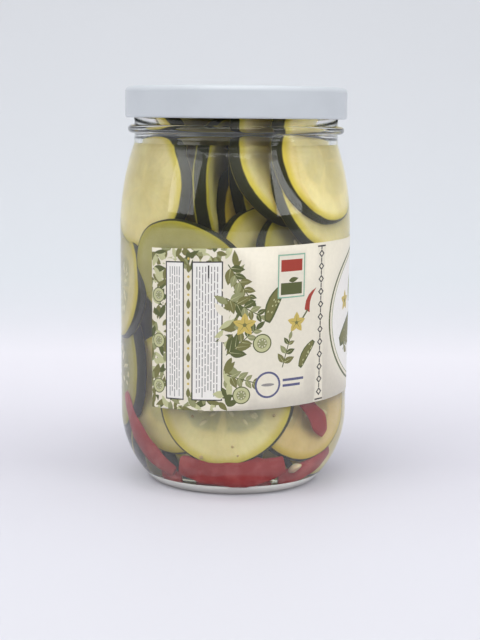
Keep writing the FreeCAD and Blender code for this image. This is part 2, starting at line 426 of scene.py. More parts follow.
def outer_outline(glass):
    """The glass's outside, from the middle of the base to the rim."""
    side_top = glass.heel_height + glass.side_height
    neck_start = side_top + glass.shoulder_height
    rim = GLASS_BOX[1].z
    flat, heel_end, heel_radius = heel_curve(glass, 0.0, 0.0, glass.foot_round)
    shoulder_end, shoulder_radius = shoulder_curve(glass, 0.0, glass.neck_radius, glass.neck_round)
    ring_inner = Vector((flat - glass.ring_width, 0.0))
    ring_outer = Vector((flat, 0.0))
    side_foot = Vector((glass.body_radius - glass.body_taper, glass.heel_height))
    side_head = Vector((glass.body_radius, side_top))
    neck_foot = Vector((glass.neck_radius, neck_start))
    bead_low = neck_start + glass.neck_gap
    cap = glass.bead_height / 2
    crest = glass.neck_radius + glass.bead_depth
    bead = [
        Vector((glass.neck_radius, bead_low)),
        Vector((crest - cap, bead_low)),
        Vector((crest, bead_low + cap)),
        Vector((crest - cap, bead_low + 2 * cap)),
        Vector((glass.neck_radius, bead_low + 2 * cap)),
    ]
    rim_corner = Vector((glass.neck_radius, rim - glass.rim_round))
    rim_edge = Vector((glass.neck_radius - glass.rim_round, rim))
    points = [Vector((0.0, glass.push_up))]
    points += arc(points[-1], ring_inner, dome_radius(ring_inner.x, glass.push_up), -1, 10)
    points += [ring_outer]
    points += arc(ring_outer, heel_end, glass.foot_round, 1, 6)
    points += arc(heel_end, side_foot, heel_radius, 1, 16)
    points += [side_foot.lerp(side_head, step / 12) for step in range(1, 13)]
    points += arc(side_head, shoulder_end, shoulder_radius, 1, 14)
    points += arc(shoulder_end, neck_foot, glass.neck_round, -1, 6)
    points += bead[:2]
    points += arc(bead[1], bead[2], cap, 1, 6)
    points += arc(bead[2], bead[3], cap, 1, 6)
    points += [bead[4], rim_corner]
    points += arc(rim_corner, rim_edge, glass.rim_round, 1, 5)
    return points


def inner_outline(glass, inset):
    """The inside of the glass, from the middle of the floor to the rim, moved out by inset."""
    side_top = glass.heel_height + glass.side_height
    neck_start = side_top + glass.shoulder_height
    rim = GLASS_BOX[1].z
    wall = glass.side_wall - inset
    mouth = glass.neck_radius - glass.finish_wall + inset
    floor = glass.floor_thickness - inset
    flat, heel_end, heel_radius = heel_curve(glass, wall, floor, glass.floor_round)
    neck_round = glass.neck_round + wall
    shoulder_end, shoulder_radius = shoulder_curve(glass, wall, mouth, neck_round)
    floor_edge = Vector((flat, floor))
    side_foot = Vector((glass.body_radius - glass.body_taper - wall, glass.heel_height))
    side_head = Vector((glass.body_radius - wall, side_top))
    neck_foot = Vector((mouth, neck_start))
    rim_corner = Vector((mouth, rim - glass.rim_round))
    rim_edge = Vector((mouth + glass.rim_round, rim))
    points = [Vector((0.0, floor + glass.floor_dome))]
    points += arc(points[-1], floor_edge, dome_radius(flat, glass.floor_dome), -1, 8)
    points += arc(floor_edge, heel_end, glass.floor_round, 1, 8)
    points += arc(heel_end, side_foot, heel_radius, 1, 14)
    points += [side_foot.lerp(side_head, step / 12) for step in range(1, 13)]
    points += arc(side_head, shoulder_end, shoulder_radius, 1, 14)
    points += arc(shoulder_end, neck_foot, neck_round, -1, 6)
    points += [rim_corner]
    points += arc(rim_corner, rim_edge, glass.rim_round, -1, 5)
    return points


def cavity_radius(glass, height):
    """The inner radius of the glass at a height, or at many."""
    outline = inner_outline(glass, 0.0)
    return np.interp(height, [p.y for p in outline[9:]], [p.x for p in outline[9:]])


# --------------------------------------------------------------------------- materials

def toned(base, factors):
    """A colour with each of its parts times a factor."""
    return tuple(c * f for c, f in zip(base, factors))


class Finish(Nodes):
    """A material in the making, around one Principled shader."""

    def __init__(self, name, base=None, **inputs):
        self.material = bpy.data.materials.new(name)
        self.material.use_nodes = True
        super().__init__(self.material.node_tree)
        self.shader = self.graph.nodes["Principled BSDF"]
        self.output = self.graph.nodes["Material Output"]
        if base is not None:
            self.shader.inputs["Base Color"].default_value = (*base, 1.0)
        for key, value in inputs.items():
            self.shader.inputs[self.title(key)].default_value = value

    @staticmethod
    def title(key):
        """A shader input's name from a keyword."""
        return key.replace("_", " ").title().replace("Ior", "IOR")

    def place(self):
        """The place on the piece, in metres."""
        return self.node("ShaderNodeTexCoord").outputs["Object"]

    def noise(self, scale, detail=3.0, roughness=0.55, vector=None, distortion=0.0):
        """A noise texture's value, from 0 to 1."""
        made = self.node("ShaderNodeTexNoise", {
            "Vector": vector or self.place(), "Scale": scale, "Detail": detail,
            "Roughness": roughness, "Distortion": distortion,
        })
        return made.outputs["Fac"]

    def mixed(self, share, first, second):
        """Two colours mixed."""
        made = self.node("ShaderNodeMix", data_type="RGBA")
        self.feed(made.inputs["Factor"], share)
        for socket, value in ((made.inputs[6], first), (made.inputs[7], second)):
            self.feed(socket, (*value, 1.0) if isinstance(value, (tuple, list)) else value)
        return made.outputs[2]

    def attribute(self, name, output="Fac"):
        """A named attribute of the mesh."""
        return self.node("ShaderNodeAttribute", attribute_name=name).outputs[output]

    def paint(self, shade):
        """Gives the shader its colour."""
        self.feed(self.shader.inputs["Base Color"], shade)

    def bump(self, height, strength, distance):
        """Gives the shader a bump."""
        made = self.node("ShaderNodeBump", {
            "Height": height, "Strength": strength, "Distance": distance,
        })
        self.feed(self.shader.inputs["Normal"], made.outputs[0])


def lets_lamps_through(finish, shader_output, passed):
    """Mixes in a Transparent shader for rays that look for lamps, so that they reach inside."""
    path = finish.node("ShaderNodeLightPath")
    clear = finish.node("ShaderNodeBsdfTransparent", {"Color": (*passed, 1.0)})
    mix = finish.node("ShaderNodeMixShader", {
        0: path.outputs["Is Shadow Ray"], 1: shader_output, 2: clear.outputs[0],
    })
    finish.feed(finish.output.inputs["Surface"], mix.outputs[0])


def glass_material(tint):
    """Clear pressed glass with faint ripples."""
    finish = Finish("clear_glass")
    finish.graph.nodes.remove(finish.shader)
    ripple = finish.noise(55.0, detail=2.0)
    bump = finish.node("ShaderNodeBump", {"Height": ripple, "Strength": 0.10, "Distance": 0.0004})
    shader = finish.node("ShaderNodeBsdfGlass", {
        "Color": (*tint, 1.0), "Roughness": 0.0, "IOR": 1.5, "Normal": bump.outputs[0],
    })
    lets_lamps_through(finish, shader.outputs[0], (0.99, 0.995, 0.99))
    return finish.material


def frost_material():
    """Fine stippling at the jar's foot, with a painted glow that stands in for light gathered in
    the thick glass.
    """
    finish = Finish("foot_stipple", (0.8, 0.79, 0.77), roughness=0.5)
    _, _, up = finish.parts(finish.place())
    level = finish.math("MULTIPLY_ADD", finish.noise(90.0), 0.0012, up)
    # Painted shade low on the band as contact shade, and a painted highlight line at its top.
    shade = finish.mixed(
        finish.spread(level, 0.0010, 0.0036), (0.70, 0.66, 0.63), (1.0, 0.985, 0.96)
    )
    finish.paint(shade)
    finish.bump(finish.noise(1500.0, detail=1.0), 0.3, 0.0002)
    return finish.material


def brine_material(passed, density):
    """Faintly yellow-green liquid."""
    finish = Finish("brine")
    finish.graph.nodes.remove(finish.shader)
    shader = finish.node("ShaderNodeBsdfGlass", {
        "Color": (1.0, 1.0, 1.0, 1.0), "Roughness": 0.0, "IOR": 1.34,
    })
    lets_lamps_through(finish, shader.outputs[0], (0.99, 0.985, 0.95))
    depth = finish.node("ShaderNodeVolumeAbsorption", {
        "Color": (*passed, 1.0), "Density": density,
    })
    finish.feed(finish.output.inputs["Volume"], depth.outputs[0])
    return finish.material


def lacquer_material(base):
    """Pale satin lacquer on pressed metal."""
    finish = Finish("lid_lacquer", base, roughness=0.38, coat_weight=0.25, coat_roughness=0.12)
    cloud = finish.noise(28.0)
    light = tuple(min(1.035 * c, 1) for c in base)
    shade = finish.mixed(finish.spread(cloud, 0.3, 0.7), toned(base, (0.965,) * 3), light)
    finish.paint(shade)
    gloss = finish.spread(finish.noise(220.0), 0.3, 0.7, 0.33, 0.43)
    finish.feed(finish.shader.inputs["Roughness"], gloss)
    finish.bump(finish.noise(900.0, detail=1.0), 0.06, 0.0002)
    return finish.material


def slice_material(s):
    """Pickle flesh: peel at the edge, pale flesh, and a glassy three-part middle."""
    finish = Finish(
        "pickle_slice", tuple(s.flesh), roughness=0.45, specular_ior_level=0.05,
        subsurface_weight=0.35, subsurface_radius=(1.0, 0.85, 0.35), subsurface_scale=0.004,
    )
    flesh, core, rind, peel = tuple(s.flesh), tuple(s.core), tuple(s.rind), tuple(s.peel)
    white = (1.0, 1.0, 1.0)
    dull = (0.45, 0.50, 0.30)
    browned = (0.93, 0.76, 0.62)
    wobble = finish.math("SUBTRACT", finish.noise(140.0, detail=2.0), 0.5)
    x, y, _ = finish.parts(finish.node("ShaderNodeUVMap", uv_map="disc").outputs[0])
    x = finish.math("MULTIPLY_ADD", x, 2.0, -1.0)
    y = finish.math("MULTIPLY_ADD", y, 2.0, -1.0)
    out = finish.math("SQRT", finish.math("MULTIPLY_ADD", x, x, finish.math("MULTIPLY", y, y)))
    angle = finish.math("ARCTAN2", y, x)
    thirds = finish.math("COSINE", finish.math("MULTIPLY", angle, 3.0))
    core_edge = finish.math("MULTIPLY_ADD", thirds, -0.06, 0.56)
    uneven = finish.math("MULTIPLY_ADD", wobble, 0.10, out)
    in_core = finish.spread(finish.math("SUBTRACT", uneven, core_edge), -0.07, 0.05, 1.0, 0.0)
    ridge = finish.math("MULTIPLY", finish.spread(thirds, 0.80, 0.99), 0.7)
    in_chamber = finish.math("MULTIPLY", in_core, finish.math("SUBTRACT", 1.0, ridge))
    in_chamber = finish.math("MULTIPLY", in_chamber, finish.attribute("core"))
    around = finish.combined(
        finish.math("MULTIPLY", angle, 5.0), finish.math("MULTIPLY", out, 2.0), 0.0
    )
    rays = finish.noise(3.0, roughness=0.5, vector=around)
    pale = finish.mixed(finish.spread(rays, 0.3, 0.75), flesh, toned(flesh, (0.95, 0.96, 0.90)))
    grains = finish.spread(finish.noise(260.0), 0.3, 0.7)
    shade = finish.mixed(
        in_chamber, pale, finish.mixed(grains, core, toned(core, (1.25, 1.22, 1.1)))
    )
    near_edge = finish.math("MULTIPLY_ADD", wobble, 0.012, out)
    shade = finish.mixed(finish.spread(near_edge, 0.80, 0.965), shade, rind)
    shade = finish.mixed(finish.spread(near_edge, 0.966, 0.982), shade, peel)
    # The murk and shade attribute makes a slice a murkier olive, and darkens slices that lie in
    # shadow as painted shade.
    for name, colour_to in (("tone", dull), ("browning", browned)):
        tint = finish.mixed(finish.attribute(name), white, colour_to)
        shade = finish.vector("MULTIPLY", shade, tint)
    patches = finish.spread(finish.noise(75.0, detail=4.0), 0.32, 0.68)
    blotch = finish.mixed(patches, (0.90, 0.88, 0.80), (1.03, 1.04, 1.06))
    finish.paint(finish.vector("MULTIPLY", shade, blotch))
    finish.bump(finish.noise(420.0, detail=4.0), 0.25, 0.0006)
    return finish.material


def seed_material(base):
    """Pale pickle seeds."""
    finish = Finish("pickle_seed", tuple(base), roughness=0.35, specular_ior_level=0.08)
    shade = finish.mixed(finish.noise(600.0), tuple(base), toned(base, (0.72,) * 3))
    finish.paint(shade)
    return finish.material


def pepper_material(base):
    """Soft red pepper: mottled skin with paler patches."""
    finish = Finish("pepper_skin", tuple(base), roughness=0.28, specular_ior_level=0.08)
    pale = tuple(min(c * f + 0.05, 1.0) for c, f in zip(base, (1.25, 2.2, 1.9)))
    shade = finish.mixed(finish.spread(finish.noise(160.0), 0.42, 0.75), tuple(base), pale)
    finish.paint(shade)
    finish.bump(finish.noise(300.0), 0.2, 0.0005)
    return finish.material


def garlic_material(base):
    """Creamy garlic and pale spice flecks."""
    finish = Finish(
        "garlic", tuple(base), roughness=0.4, specular_ior_level=0.08,
        subsurface_weight=0.4, subsurface_scale=0.002,
    )
    shade = finish.mixed(finish.noise(350.0), tuple(base), toned(base, (0.8, 0.7, 0.6)))
    finish.paint(shade)
    finish.bump(finish.noise(500.0), 0.2, 0.0004)
    return finish.material


def label_material():
    """Satin printed film, with the print held in the ink attribute."""
    finish = Finish("printed_film", roughness=0.42, specular_ior_level=0.35)
    ink = finish.attribute("ink", "Color")
    grain = finish.spread(finish.noise(700.0, detail=2.0), 0.3, 0.7, 0.965, 1.0)
    finish.paint(finish.scaled(ink, grain))
    finish.bump(finish.noise(60.0, detail=2.0), 0.05, 0.0004)
    return finish.material


# --------------------------------------------------------------------------- slices

# Middle x, y, z in mm; facing to the right of the front and upwards in degrees;
# radius and thickness in mm; bend per metre; murk and shade from 0, pale, to 1, murky olive
# and darkened by painted shade; stretch as a share of the radius; spin in degrees;
# how glassy the core is; browning.
# A slice's ease, LAID or FREE, follows in planned_slices: how readily it yields to others.
LAID = 0.06
FREE = 1.0
# Number, distance from the axis and lowest middle in mm, and first angle of each filling ring.
FILLING_RINGS = ((7, 35.5, 28, 94), (7, 36.0, 60, 94), (6, 35.5, 94, 94), (5, 33.5, 124, 108))
LAST_ANGLE = 262
PLACED_SLICES = [
    (-31.4, -13.6, 121.0, -60, 2, 24.0, 6.6, 8, 0.0, 0.03, 80, 0.2, 0.1),
    (-17.4, -35.4, 89.5, -27, 0, 22.5, 6.0, 22, 0.9, 0.12, -30, 0.8, 0.2),
    (-8.5, -21.5, 120.0, 76, 4, 19.0, 6.2, 0, 0.75, 0.0, 20, 0.1, 0.1),
    (32.0, -17.5, 131.0, 62, 18, 24.5, 7.0, 8, 0.0, 0.03, 0, 0.3, 0.1),
    (14.8, -14.2, 129.5, 57, 21, 25.0, 6.4, 4, 0.0, 0.02, 40, 0.2, 0.0),
    (29.5, -14.6, 119.5, 60, 20, 24.5, 6.0, 6, 0.10, 0.0, 10, 0.2, 0.1),
    (11.5, -22.5, 91.0, 44, 12, 23.0, 6.0, 6, 0.55, 0.04, 100, 0.4, 0.1),
    (-3.0, -34.0, 40.0, -4, 0, 26.0, 6.2, 7, 0.0, 0.01, 25, 0.8, 0.0),
    (-19.5, -22.5, 41.0, -38, 0, 24.5, 6.0, 6, 0.15, 0.04, 60, 0.5, 0.0),
    (24.5, -25.5, 37.5, 42, 2, 23.0, 6.2, 8, 0.05, 0.05, 130, 0.5, 0.7),
    (-36.5, -3.0, 80.0, -96, 4, 22.5, 6.2, 10, 0.4, 0.05, 0, 0.6, 0.2),
    (-35.5, 1.0, 45.0, -92, -6, 23.5, 6.4, 10, 0.9, 0.05, 50, 0.6, 0.3),
    (-10.0, 2.0, 117.0, 24, 8, 22.0, 6.4, 0, 1.0, 0.05, 70, 0.6, 0.4),
    (25.0, -20.0, 93.0, 52, 18, 22.5, 6.0, 6, 0.9, 0.02, 30, 0.5, 0.2),
]


def slice_frame(facing, lift):
    """The across, up and outward directions of a slice."""
    facing, lift = math.radians(facing), math.radians(lift)
    out = Vector((
        math.sin(facing) * math.cos(lift), -math.cos(facing) * math.cos(lift), math.sin(lift)
    ))
    across = Vector((math.cos(facing), math.sin(facing), 0.0))
    return np.array([across, out.cross(across), out]).T


def at_angle(out, degrees):
    """X and Y at a distance from the axis, at an angle to the right of the front."""
    angle = math.radians(degrees)
    return out * math.sin(angle), -out * math.cos(angle)


def planned_slices(s):
    """The placed slices, then others that fill the jar, as rows of numbers in mm."""
    rng = random.Random(s.jumble)
    rows = [(*row, LAID) for row in PLACED_SLICES]
    for ring, (count, out, start, first) in enumerate(FILLING_RINGS):
        for step in range(count):
            turned = (LAST_ANGLE - first) * (step + 0.5 * (ring % 2)) / count
            angle = first + turned + rng.uniform(-6, 6)
            rows.append((
                *at_angle(out + rng.uniform(-2.5, 0.5), angle),
                start + rng.uniform(-4, 7), angle + rng.uniform(-14, 14), rng.uniform(-8, 10),
                rng.uniform(21.5, 25.5), rng.uniform(5.6, 6.8), rng.uniform(5, 14),
                rng.uniform(0.1, 0.9), rng.uniform(0, 0.08), rng.uniform(0, 360),
                rng.uniform(0.1, 1.0), rng.random() ** 3, FREE,
            ))
    for level in range(12):
        angle = rng.uniform(0, 360)
        rows.append((
            *at_angle(rng.uniform(0, 14), angle),
            26 + level * 9.4, rng.uniform(0, 360), rng.uniform(5, 60), rng.uniform(21, 25),
            rng.uniform(5.6, 6.6), rng.uniform(-4, 4), rng.uniform(0.2, 0.9),
            rng.uniform(0, 0.08), rng.uniform(0, 360), rng.uniform(0.1, 1.0),
            rng.random() ** 3, FREE,
        ))
    return rows


def middle_spots(rings, radius, bend):
    """Spots on each slice's middle surface, from rings of (share of the radius, number)."""
    flat = [(0.0, 0.0)]
    for out, number in rings:
        angles = [TURN * k / number for k in range(number)]
        flat += [(out * math.cos(angle), out * math.sin(angle)) for angle in angles]
    spots = np.zeros((len(radius), len(flat), 3))
    spots[:, :, :2] = np.array(flat)[None] * radius[:, None, None]
    spots[:, :, 2] = -0.5 * bend[:, None] * spots[:, :, 0] ** 2
    return spots


def laid_out(turn, spots, centre):
    """Spots of each slice, turned and moved to its place."""
    return np.einsum("nij,npj->npi", turn, spots) + centre[:, None]


def clear_slices(centre, turn, radius, thick, bend, ease):
    """The numbers of the slices to keep.

    A free slice goes if its middle surface passes right through another slice, or another's
    through it. Slices that only sink into each other by part of their thickness stay.
    """
    rings = ((0.2, 6), (0.4, 10), (0.6, 16), (0.8, 22), (0.97, 28))
    spots = laid_out(turn, middle_spots(rings, radius, bend), centre)

    def cuts(a, b):
        seen = (spots[a] - centre[b]) @ turn[b]
        height = seen[:, 2] + 0.5 * bend[b] * seen[:, 0] ** 2
        near = np.hypot(seen[:, 0], seen[:, 1]) < 0.96 * radius[b]
        if not near.any():
            return False
        half = thick[b] / 2
        return height[near].max() > half and height[near].min() < -half

    kept = []
    for a in sorted(range(len(centre)), key=lambda k: ease[k]):
        if ease[a] < 0.5 or not any(cuts(a, b) or cuts(b, a) for b in kept):
            kept.append(a)
    return np.array(sorted(kept))


def pushed_apart(spots, owner, size, share):
    """Moves spots of different slices away from each other where they are too close."""
    squares = (spots ** 2).sum(axis=1)
    apart = squares[:, None] + squares[None] - 2 * spots @ spots.T
    reach = size[:, None] + size[None]
    first, second = np.nonzero((apart < reach ** 2) & (owner[:, None] < owner[None]))
    gap = spots[first] - spots[second]
    away = np.maximum(np.linalg.norm(gap, axis=1), 1e-6)
    push = (reach[first, second] - away)[:, None] * gap / away[:, None]
    total = share[first] + share[second]
    moved = np.zeros_like(spots)
    hits = np.zeros(len(spots))
    np.add.at(moved, first, push * (share[first] / total)[:, None])
    np.add.at(moved, second, -push * (share[second] / total)[:, None])
    np.add.at(hits, first, 1)
    np.add.at(hits, second, 1)
    return spots + moved / np.maximum(hits, 1)[:, None] * 1.4


def settled_slices(s, glass, rounds=240):
    """Grows the filling slices between the placed ones, and moves slices apart in the glass."""
    rows = np.array(planned_slices(s), dtype=float)
    centre, radius, thick = rows[:, :3] * MM, rows[:, 5] * MM, rows[:, 6] * MM
    turn = np.array([slice_frame(row[3], row[4]) for row in rows])
    bend, ease = rows[:, 7], rows[:, 13]
    whole = middle_spots(((0.36, 6), (0.64, 12), (0.88, 18)), radius, bend)
    count, each = whole.shape[:2]
    shift = whole.mean(axis=1)
    whole -= shift[:, None]
    centre = centre + np.einsum("nij,nj->ni", turn, shift)
    home = laid_out(turn, whole, centre)
    owner = np.repeat(np.arange(count), each)
    size = np.repeat(thick / 2, each) * 1.02
    share = ease[owner]
    lowest, highest, sinking = glass.floor_thickness + 0.006, 0.1545, 0.00003
    held = np.where(ease < 0.5, 0.9, 1.0)[:, None, None]
    for step in range(rounds):
        growth = min(1.0, 0.3 + 0.7 * step / (0.7 * rounds))
        local = whole * np.where(ease < 0.5, 1.0, growth)[:, None, None]
        spots = laid_out(turn, local, centre).reshape(-1, 3)
        spots = pushed_apart(spots, owner, size, share)
        spots[:, 2] -= sinking * (share > 0.5)
        spots[:, 2] = np.clip(spots[:, 2], lowest, highest)
        wall = cavity_radius(glass, spots[:, 2]) - size
        out = np.hypot(spots[:, 0], spots[:, 1])
        spots[:, :2] *= np.minimum(1.0, wall / np.maximum(out, 1e-6))[:, None]
        spots = home + (spots.reshape(count, each, 3) - home) * held
        centre = spots.mean(axis=1)
        spread = np.einsum("npi,npj->nij", spots - centre[:, None], local)
        left, _, right = np.linalg.svd(spread)
        left[:, :, 2] *= np.sign(np.linalg.det(left @ right))[:, None]
        turn = left @ right
    centre = centre - np.einsum("nij,nj->ni", turn, shift)
    free = clear_slices(centre, turn, radius, thick, bend, ease)
    looks = [rows[free, column] for column in range(8, 13)]
    return centre[free], turn[free], radius[free], thick[free], bend[free], *looks


def blank_slice():
    """One slice of radius 1 and thickness 1, with a sunken middle and a rounded edge."""
    around = 56
    profile = [
        (0.10, 0.44), (0.22, 0.43), (0.34, 0.42), (0.45, 0.44), (0.54, 0.475), (0.64, 0.5),
        (0.76, 0.5), (0.86, 0.5), (0.925, 0.485), (0.965, 0.43), (0.99, 0.32), (1.0, 0.14),
    ]
    rings = profile + [(out, -up) for out, up in reversed(profile)]
    points = [(0.0, 0.0, 0.45)]
    for out, up in rings:
        for step in range(around):
            angle = TURN * step / around
            lobe = 1.0 + 0.10 * math.cos(3 * angle) * min(out, 0.5) * (1 - out)
            points.append((out * lobe * math.cos(angle), out * lobe * math.sin(angle), up))
    points.append((0.0, 0.0, -0.45))
    last = len(points) - 1
    faces = []
    for step in range(around):
        ahead = (step + 1) % around
        faces.append((0, 1 + step, 1 + ahead))
        for row in range(len(rings) - 1):
            low = 1 + row * around
            faces.append((low + step, low + around + step, low + around + ahead, low + ahead))
        low = 1 + (len(rings) - 1) * around
        faces.append((last, low + ahead, low + step))
    mesh = mesh_from("blank_slice", points, faces)
    return flat_map(mesh)


def flat_map(mesh):
    """Gives a mesh the disc map: its place seen along Z, with 0.5 in the middle."""
    layer = mesh.uv_layers.new(name="disc")
    for loop in mesh.loops:
        place = mesh.vertices[loop.vertex_index].co
        layer.data[loop.index].uv = (0.5 + place.x / 2, 0.5 + place.y / 2)
    return mesh


def blank_seeds(jumble):
    """The seeds of one slice of radius 1 and thickness 1, on both faces."""
    rng = random.Random(jumble + 40)
    made = bmesh.new()
    for side in (-1, 1):
        for lobe in range(3):
            for _ in range(6):
                angle = TURN * (lobe + 0.5) / 3 + rng.uniform(-0.62, 0.62)
                out = rng.uniform(0.20, 0.50)
                spot = (out * math.cos(angle), out * math.sin(angle), side * 0.43)
                place = Matrix.Translation(spot)
                turn = Matrix.Rotation(angle + rng.uniform(-0.35, 0.35), 4, "Z")
                size = rng.uniform(0.85, 1.15)
                shape = Matrix.Diagonal((0.080 * size, 0.032 * size, 0.085, 1.0))
                bmesh.ops.create_uvsphere(
                    made, u_segments=8, v_segments=5, radius=1.0, matrix=place @ turn @ shape
                )
    mesh = bpy.data.meshes.new("blank_seeds")
    made.to_mesh(mesh)
    made.free()
    return flat_map(mesh)


def slice_tree():
    """Lays a copy of a blank slice on every point, uneven, bent and turned as the point says."""
    tree = Tree(
        "Lay slices", blank="Object", unevenness="Float", ripple="Float", material="Material"
    )
    geometry, blank, unevenness, ripple, material = tree.given[:5]
    shape = tree.node("GeometryNodeObjectInfo", {"Object": blank}).outputs["Geometry"]
    laid = tree.node("GeometryNodeInstanceOnPoints", {"Points": geometry, "Instance": shape})
    real = tree.node("GeometryNodeRealizeInstances", {"Geometry": laid.outputs[0]}).outputs[0]
    centre = tree.attribute("centre", "FLOAT_VECTOR")
    size = tree.attribute("size", "FLOAT_VECTOR")
    turn = tree.attribute("turn", "FLOAT_VECTOR")
    spin, mark = tree.attribute("spin", "FLOAT"), tree.attribute("mark", "FLOAT")
    bend = tree.attribute("bend", "FLOAT")
    place = tree.vector("SUBTRACT", tree.node("GeometryNodeInputPosition").outputs[0], centre)
    edge = tree.vector("NORMALIZE", tree.vector("MULTIPLY", place, (1.0, 1.0, 0.0)))
    swell = tree.node("ShaderNodeTexNoise", {
        "Vector": edge, "W": mark, "Scale": 0.75, "Detail": 1.5,
    }, noise_dimensions="4D").outputs["Fac"]
    swell = tree.math("MULTIPLY_ADD", tree.math("SUBTRACT", swell, 0.5), unevenness, 1.0)
    flat = tree.vector("MULTIPLY", place, (1.0, 1.0, 0.0))
    wave = tree.node("ShaderNodeTexNoise", {
        "Vector": flat, "W": mark, "Scale": 2.2, "Detail": 2.0,
    }, noise_dimensions="4D").outputs["Fac"]
    wave = tree.math("MULTIPLY", tree.math("SUBTRACT", wave, 0.5), ripple)
    place = tree.vector("MULTIPLY", place, size)
    place = tree.vector("MULTIPLY", place, tree.combined(swell, swell, 1.0))
    place = tree.node("ShaderNodeVectorRotate", {
        "Vector": place, "Angle": spin,
    }, rotation_type="Z_AXIS").outputs[0]
    across, _, _ = tree.parts(place)
    square = tree.math("MULTIPLY", across, across)
    dip = tree.math("MULTIPLY", square, tree.math("MULTIPLY", bend, -0.5))
    place = tree.vector("ADD", place, tree.combined(0.0, 0.0, tree.math("ADD", dip, wave)))
    place = tree.node("ShaderNodeVectorRotate", {
        "Vector": place, "Rotation": turn,
    }, rotation_type="EULER_XYZ").outputs[0]
    moved = tree.node("GeometryNodeSetPosition", {
        "Geometry": real, "Position": tree.vector("ADD", place, centre),
    })
    tree.close(moved.outputs[0], material)
    return tree


def slice_points(s, glass):
    """A point for every slice, with its size, turn and other values as attributes."""
    centre, turn, radius, thick, bend, *looks = settled_slices(s, glass)
    # The first of the looks gives murky colour and also paints shade on slices in shadow.
    tone, stretch, spin, core, browning = looks
    rng = random.Random(s.jumble + 3)
    mesh = mesh_from("slice_points", centre)
    vectors = {
        "centre": centre,
        "size": np.stack([radius * (1 + stretch), radius * (1 - stretch), thick], axis=1),
        "turn": np.array([Matrix(t.tolist()).to_euler("XYZ")[:] for t in turn]),
    }
    numbers = {
        "spin": np.radians(spin), "mark": [rng.uniform(0, 50) for _ in centre], "bend": bend,
        "tone": tone, "core": core, "browning": browning,
    }
    for name, values in vectors.items():
        put(mesh, name, "FLOAT_VECTOR", values)
    for name, values in numbers.items():
        put(mesh, name, "FLOAT", values)
    return mesh


# --------------------------------------------------------------------------- strips and spice

# Girth, then a path as (degrees to the right of the front, mm in from the wall, height in mm).
PEPPER_STRIPS = [
    (1.45, (-32, 3.2, 13), (-18, 2.6, 11.5), (0, 2.4, 11), (18, 2.6, 11.5), (31, 3.0, 13.5)),
    (0.80, (-24, 3.6, 6.6), (-8, 3.4, 6.2), (10, 3.4, 6.2), (26, 3.8, 6.8)),
    (0.95, (-74, 1.8, 37), (-65, 1.8, 28), (-56, 1.8, 20), (-47, 2.0, 13.5), (-38, 3.0, 9.5)),
    (0.85, (36, 1.8, 42), (43, 1.8, 36), (50, 2.0, 30), (57, 2.5, 24)),
    (0.95, (30, 2.6, 7.5), (42, 2.2, 8.5), (54, 2.0, 11), (66, 1.8, 16)),
    (0.80, (-50, 2.6, 7.5), (-42, 2.6, 7), (-34, 2.8, 7)),
    (1.10, (-110, 2.5, 11), (-130, 2.2, 9.5), (-155, 2.2, 10), (-172, 2.6, 13)),
    (1.20, (95, 2.4, 11), (120, 2.2, 9.5), (142, 2.4, 11), (160, 2.8, 15)),
    (0.90, (-95, 2.0, 98), (-101, 1.8, 90), (-106, 1.8, 80), (-108, 2.2, 72)),
    (0.90, (150, 2.0, 60), (158, 1.8, 68), (166, 1.8, 78), (170, 2.2, 86)),
]


def strip_tree():
    """Sweeps a flat rounded section along every line."""
    tree = Tree("Sweep strips", width="Float", thickness="Float", material="Material")
    geometry, width, thickness, material = tree.given[:4]
    curve = tree.node("GeometryNodeMeshToCurve", {"Mesh": geometry}).outputs[0]
    smooth = tree.node("GeometryNodeCurveSplineType", {"Curve": curve}, spline_type="CATMULL_ROM")
    even = tree.node("GeometryNodeResampleCurve", {"Curve": smooth.outputs[0], "Count": 40})
    facing = tree.vector("NORMALIZE", tree.vector(
        "MULTIPLY", tree.node("GeometryNodeInputPosition").outputs[0], (1.0, 1.0, 0.0)
    ))
    held = tree.node("GeometryNodeSetCurveNormal", {
        "Curve": even.outputs[0], "Normal": facing,
    }, mode="FREE")
    circle = tree.node("GeometryNodeCurvePrimitiveCircle", {"Resolution": 20, "Radius": 0.5})
    section = tree.node("GeometryNodeTransform", {
        "Geometry": circle.outputs[0], "Scale": tree.combined(thickness, width, 1.0),
    })
    along = tree.node("GeometryNodeSplineParameter").outputs["Factor"]
    taper = tree.math("POWER", tree.math("SINE", tree.math("MULTIPLY", tree.math(
        "MULTIPLY_ADD", along, 0.97, 0.015), math.pi)), 0.16)
    waver = tree.node("ShaderNodeTexNoise", {"Scale": 90.0, "Detail": 1.0}).outputs["Fac"]
    girth = tree.math("MULTIPLY", taper, tree.math("ADD", waver, 0.5))
    girth = tree.math("MULTIPLY", girth, tree.attribute("girth", "FLOAT"))
    body = tree.node("GeometryNodeCurveToMesh", {
        "Curve": held.outputs[0], "Profile Curve": section.outputs[0], "Scale": girth,
        "Fill Caps": True,
    })
    tree.close(body.outputs[0], material)
    return tree


def wall_place(glass, facing, inset, height):
    """A place in metres at a distance from the inside of the glass wall."""
    out = float(cavity_radius(glass, height * MM)) - inset * MM
    return (*at_angle(out, facing), height * MM)


